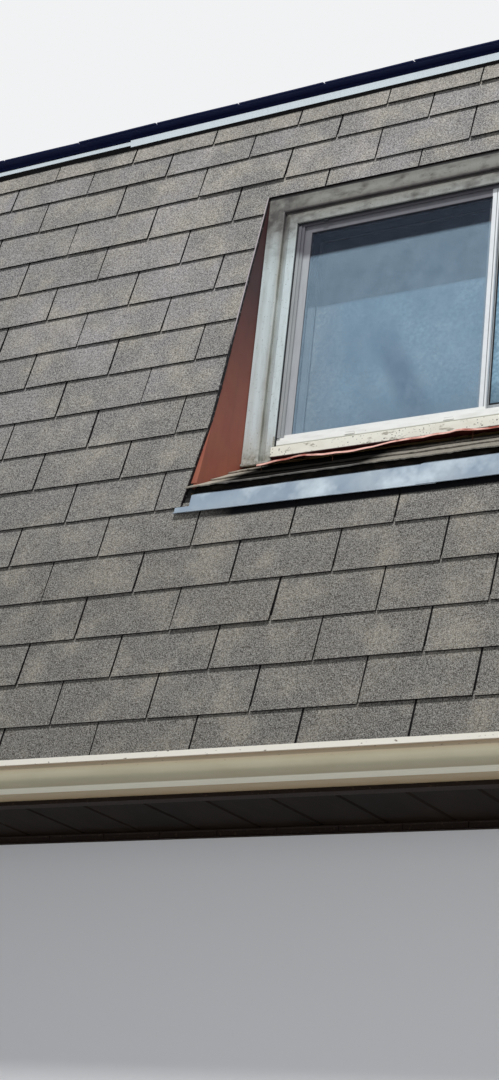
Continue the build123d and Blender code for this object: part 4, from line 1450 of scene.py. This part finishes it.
BY_SLOT = {
    "shingle": "granule_facing", "ledge_shingle": "bleached_shingle", "board": "felted_board",
    "framing": "sawn_softwood", "fascia": "dark_paint", "soffit": "soffit_enamel",
    "gutter": "gutter_enamel", "hanger": "bare_metal", "cheek": "coated_cheek",
    "red_flashing": "creased_sheet", "drip_flashing": "blue_grey_sheet",
    "top_strip": "pale_strip", "casing": "casing_paint", "sill": "sill_paint",
    "frame": "weathered_extrusion", "sash": "sash_extrusion", "glass": "tinted_glass",
    "screen_frame": "screen_bars", "screen_mesh": "screen_weave",
    "interior_trim": "room_paint", "wall": "layered_wall", "end_panel": "felted_board",
}
BY_NODE = {"frame_sill": "white_extrusion", "roof_deck": "plywood_deck",
           "ledge_board": "shade_black_board"}


class MANSARD_OT_finishes(bpy.types.Operator):
    """Makes the finishes and gives the nodes of the bay theirs"""
    bl_idname = "mansard.finishes"
    bl_label = "Finishes"

    def execute(self, context):
        for make in FINISHES:
            make(context.scene.finishes)
        slots = {part["node"]: part["material_slot"] for part in frame["record"]["subparts"]}
        for name, piece in frame["nodes"].items():
            piece.data.materials.clear()
            piece.data.materials.append(
                bpy.data.materials[BY_NODE.get(name, BY_SLOT[slots[name]])])
        return {"FINISHED"}


class MANSARD_OT_stage(bpy.types.Operator):
    """Sets the floor, plinth, studio light and camera"""
    bl_idname = "mansard.stage"
    bl_label = "Stage"

    floor_z = -2.75
    # Name, place, aim, size and power of each lamp
    lamps = (("key", (2.7, -7.6, 12.2), (0, 0, 1.4), 1.0, 1830.0),
             ("fill", (3.5, -7.5, 0.5), (0, 0, 1.2), 4.0, 90.0))

    def execute(self, context):
        floor = start_grid("floor", (-9, 9), (-9, 9), self.floor_z, 1, 1)
        front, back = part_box("wall_plate")
        plinth = start_box("plinth", (-HALF_BAY, front.y, self.floor_z),
                           (HALF_BAY, back.y, front.z - 0.001))
        for piece in (floor, plinth):
            piece.data.materials.append(bpy.data.materials["studio_floor"])
        self.light(context)
        self.camera(context)
        context.scene.view_settings.view_transform = "Standard"
        return {"FINISHED"}

    def hold(self, context, name, data, place):
        """Puts a lamp or a camera in the scene."""
        holder = bpy.data.objects.new(name, data)
        context.collection.objects.link(holder)
        holder.location = place
        return holder

    def light(self, context):
        """An even pale surround and one large soft lamp, high in front on the right."""
        world = bpy.data.worlds.new("studio")
        world.use_nodes = True
        context.scene.world = world
        desk["tree"] = world.node_tree
        seen = node("LightPath", out="Is Camera Ray")
        for kind in ("Is Glossy Ray", "Is Transmission Ray"):
            seen = node("Math", {0: seen, 1: node("LightPath", out=kind)}, operation="MAXIMUM")
        lit = node("Background", {"Color": "e6ecf4", "Strength": 0.26})
        shown = node("Background", {"Color": "f1f2f3", "Strength": 1.0})
        join(node("MixShader", {0: seen, 1: lit, 2: shown}),
             world.node_tree.nodes["World Output"].inputs["Surface"])
        for name, place, aim, width, power in self.lamps:
            lamp = bpy.data.lights.new(name, "AREA")
            lamp.shape = "DISK"
            lamp.size = width
            lamp.energy = power
            toward = Vector(aim) - Vector(place)
            self.hold(context, name, lamp, place).rotation_euler = (
                toward.to_track_quat("-Z", "Y").to_euler())

    def camera(self, context):
        """The photograph's viewpoint: low in front and to the right, looking up and left."""
        lens = bpy.data.cameras.new("camera")
        lens.lens = 69.02
        lens.sensor_width = 36.0
        holder = self.hold(context, "camera", lens, (2.459, -5.0385, -1.2942))
        holder.rotation_euler = [math.radians(a) for a in (110.8985, -5.8269, 30.702)]
        context.scene.camera = holder


class MANSARD_PT_panel(bpy.types.Panel):
    """Lists the steps that dress the bay, and their sizes and colours"""
    bl_idname = "MANSARD_PT_panel"
    bl_label = "Mansard window bay"
    bl_space_type = "VIEW_3D"
    bl_region_type = "UI"
    bl_category = "Mansard"

    def draw(self, context):
        for step in STEPS:
            self.layout.operator(step.bl_idname)
        for name in GROUPS:
            group = getattr(context.scene, name)
            box = self.layout.box()
            for key in group.__annotations__:
                box.prop(group, key)


STEPS = (MANSARD_OT_finishes, MANSARD_OT_shingles, MANSARD_OT_roof_edge, MANSARD_OT_ledge,
         MANSARD_OT_drip_flashings, MANSARD_OT_sill_flashing, MANSARD_OT_cheek_trims,
         MANSARD_OT_seals, MANSARD_OT_fittings, MANSARD_OT_sealant, MANSARD_OT_eave_trim,
         MANSARD_OT_stage)
GROUPS = {"shingle_sizes": ShingleSizes, "flashing_sizes": FlashingSizes,
          "window_sizes": WindowSizes, "finishes": Finishes}
CLASSES = tuple(GROUPS.values()) + STEPS + (MANSARD_PT_panel,)


def register():
    """Registers the classes and hangs the settings on the scene."""
    for each in CLASSES:
        bpy.utils.register_class(each)
    for name, group in GROUPS.items():
        setattr(bpy.types.Scene, name, bpy.props.PointerProperty(type=group))


def unregister():
    """Takes the settings and classes away again."""
    for name in GROUPS:
        delattr(bpy.types.Scene, name)
    for each in reversed(CLASSES):
        bpy.utils.unregister_class(each)


def main():
    """Dresses the bay step by step."""
    register()
    for step in STEPS:
        group, name = step.bl_idname.split(".")
        getattr(getattr(bpy.ops, group), name)()


if __name__ == "__main__":
    main()
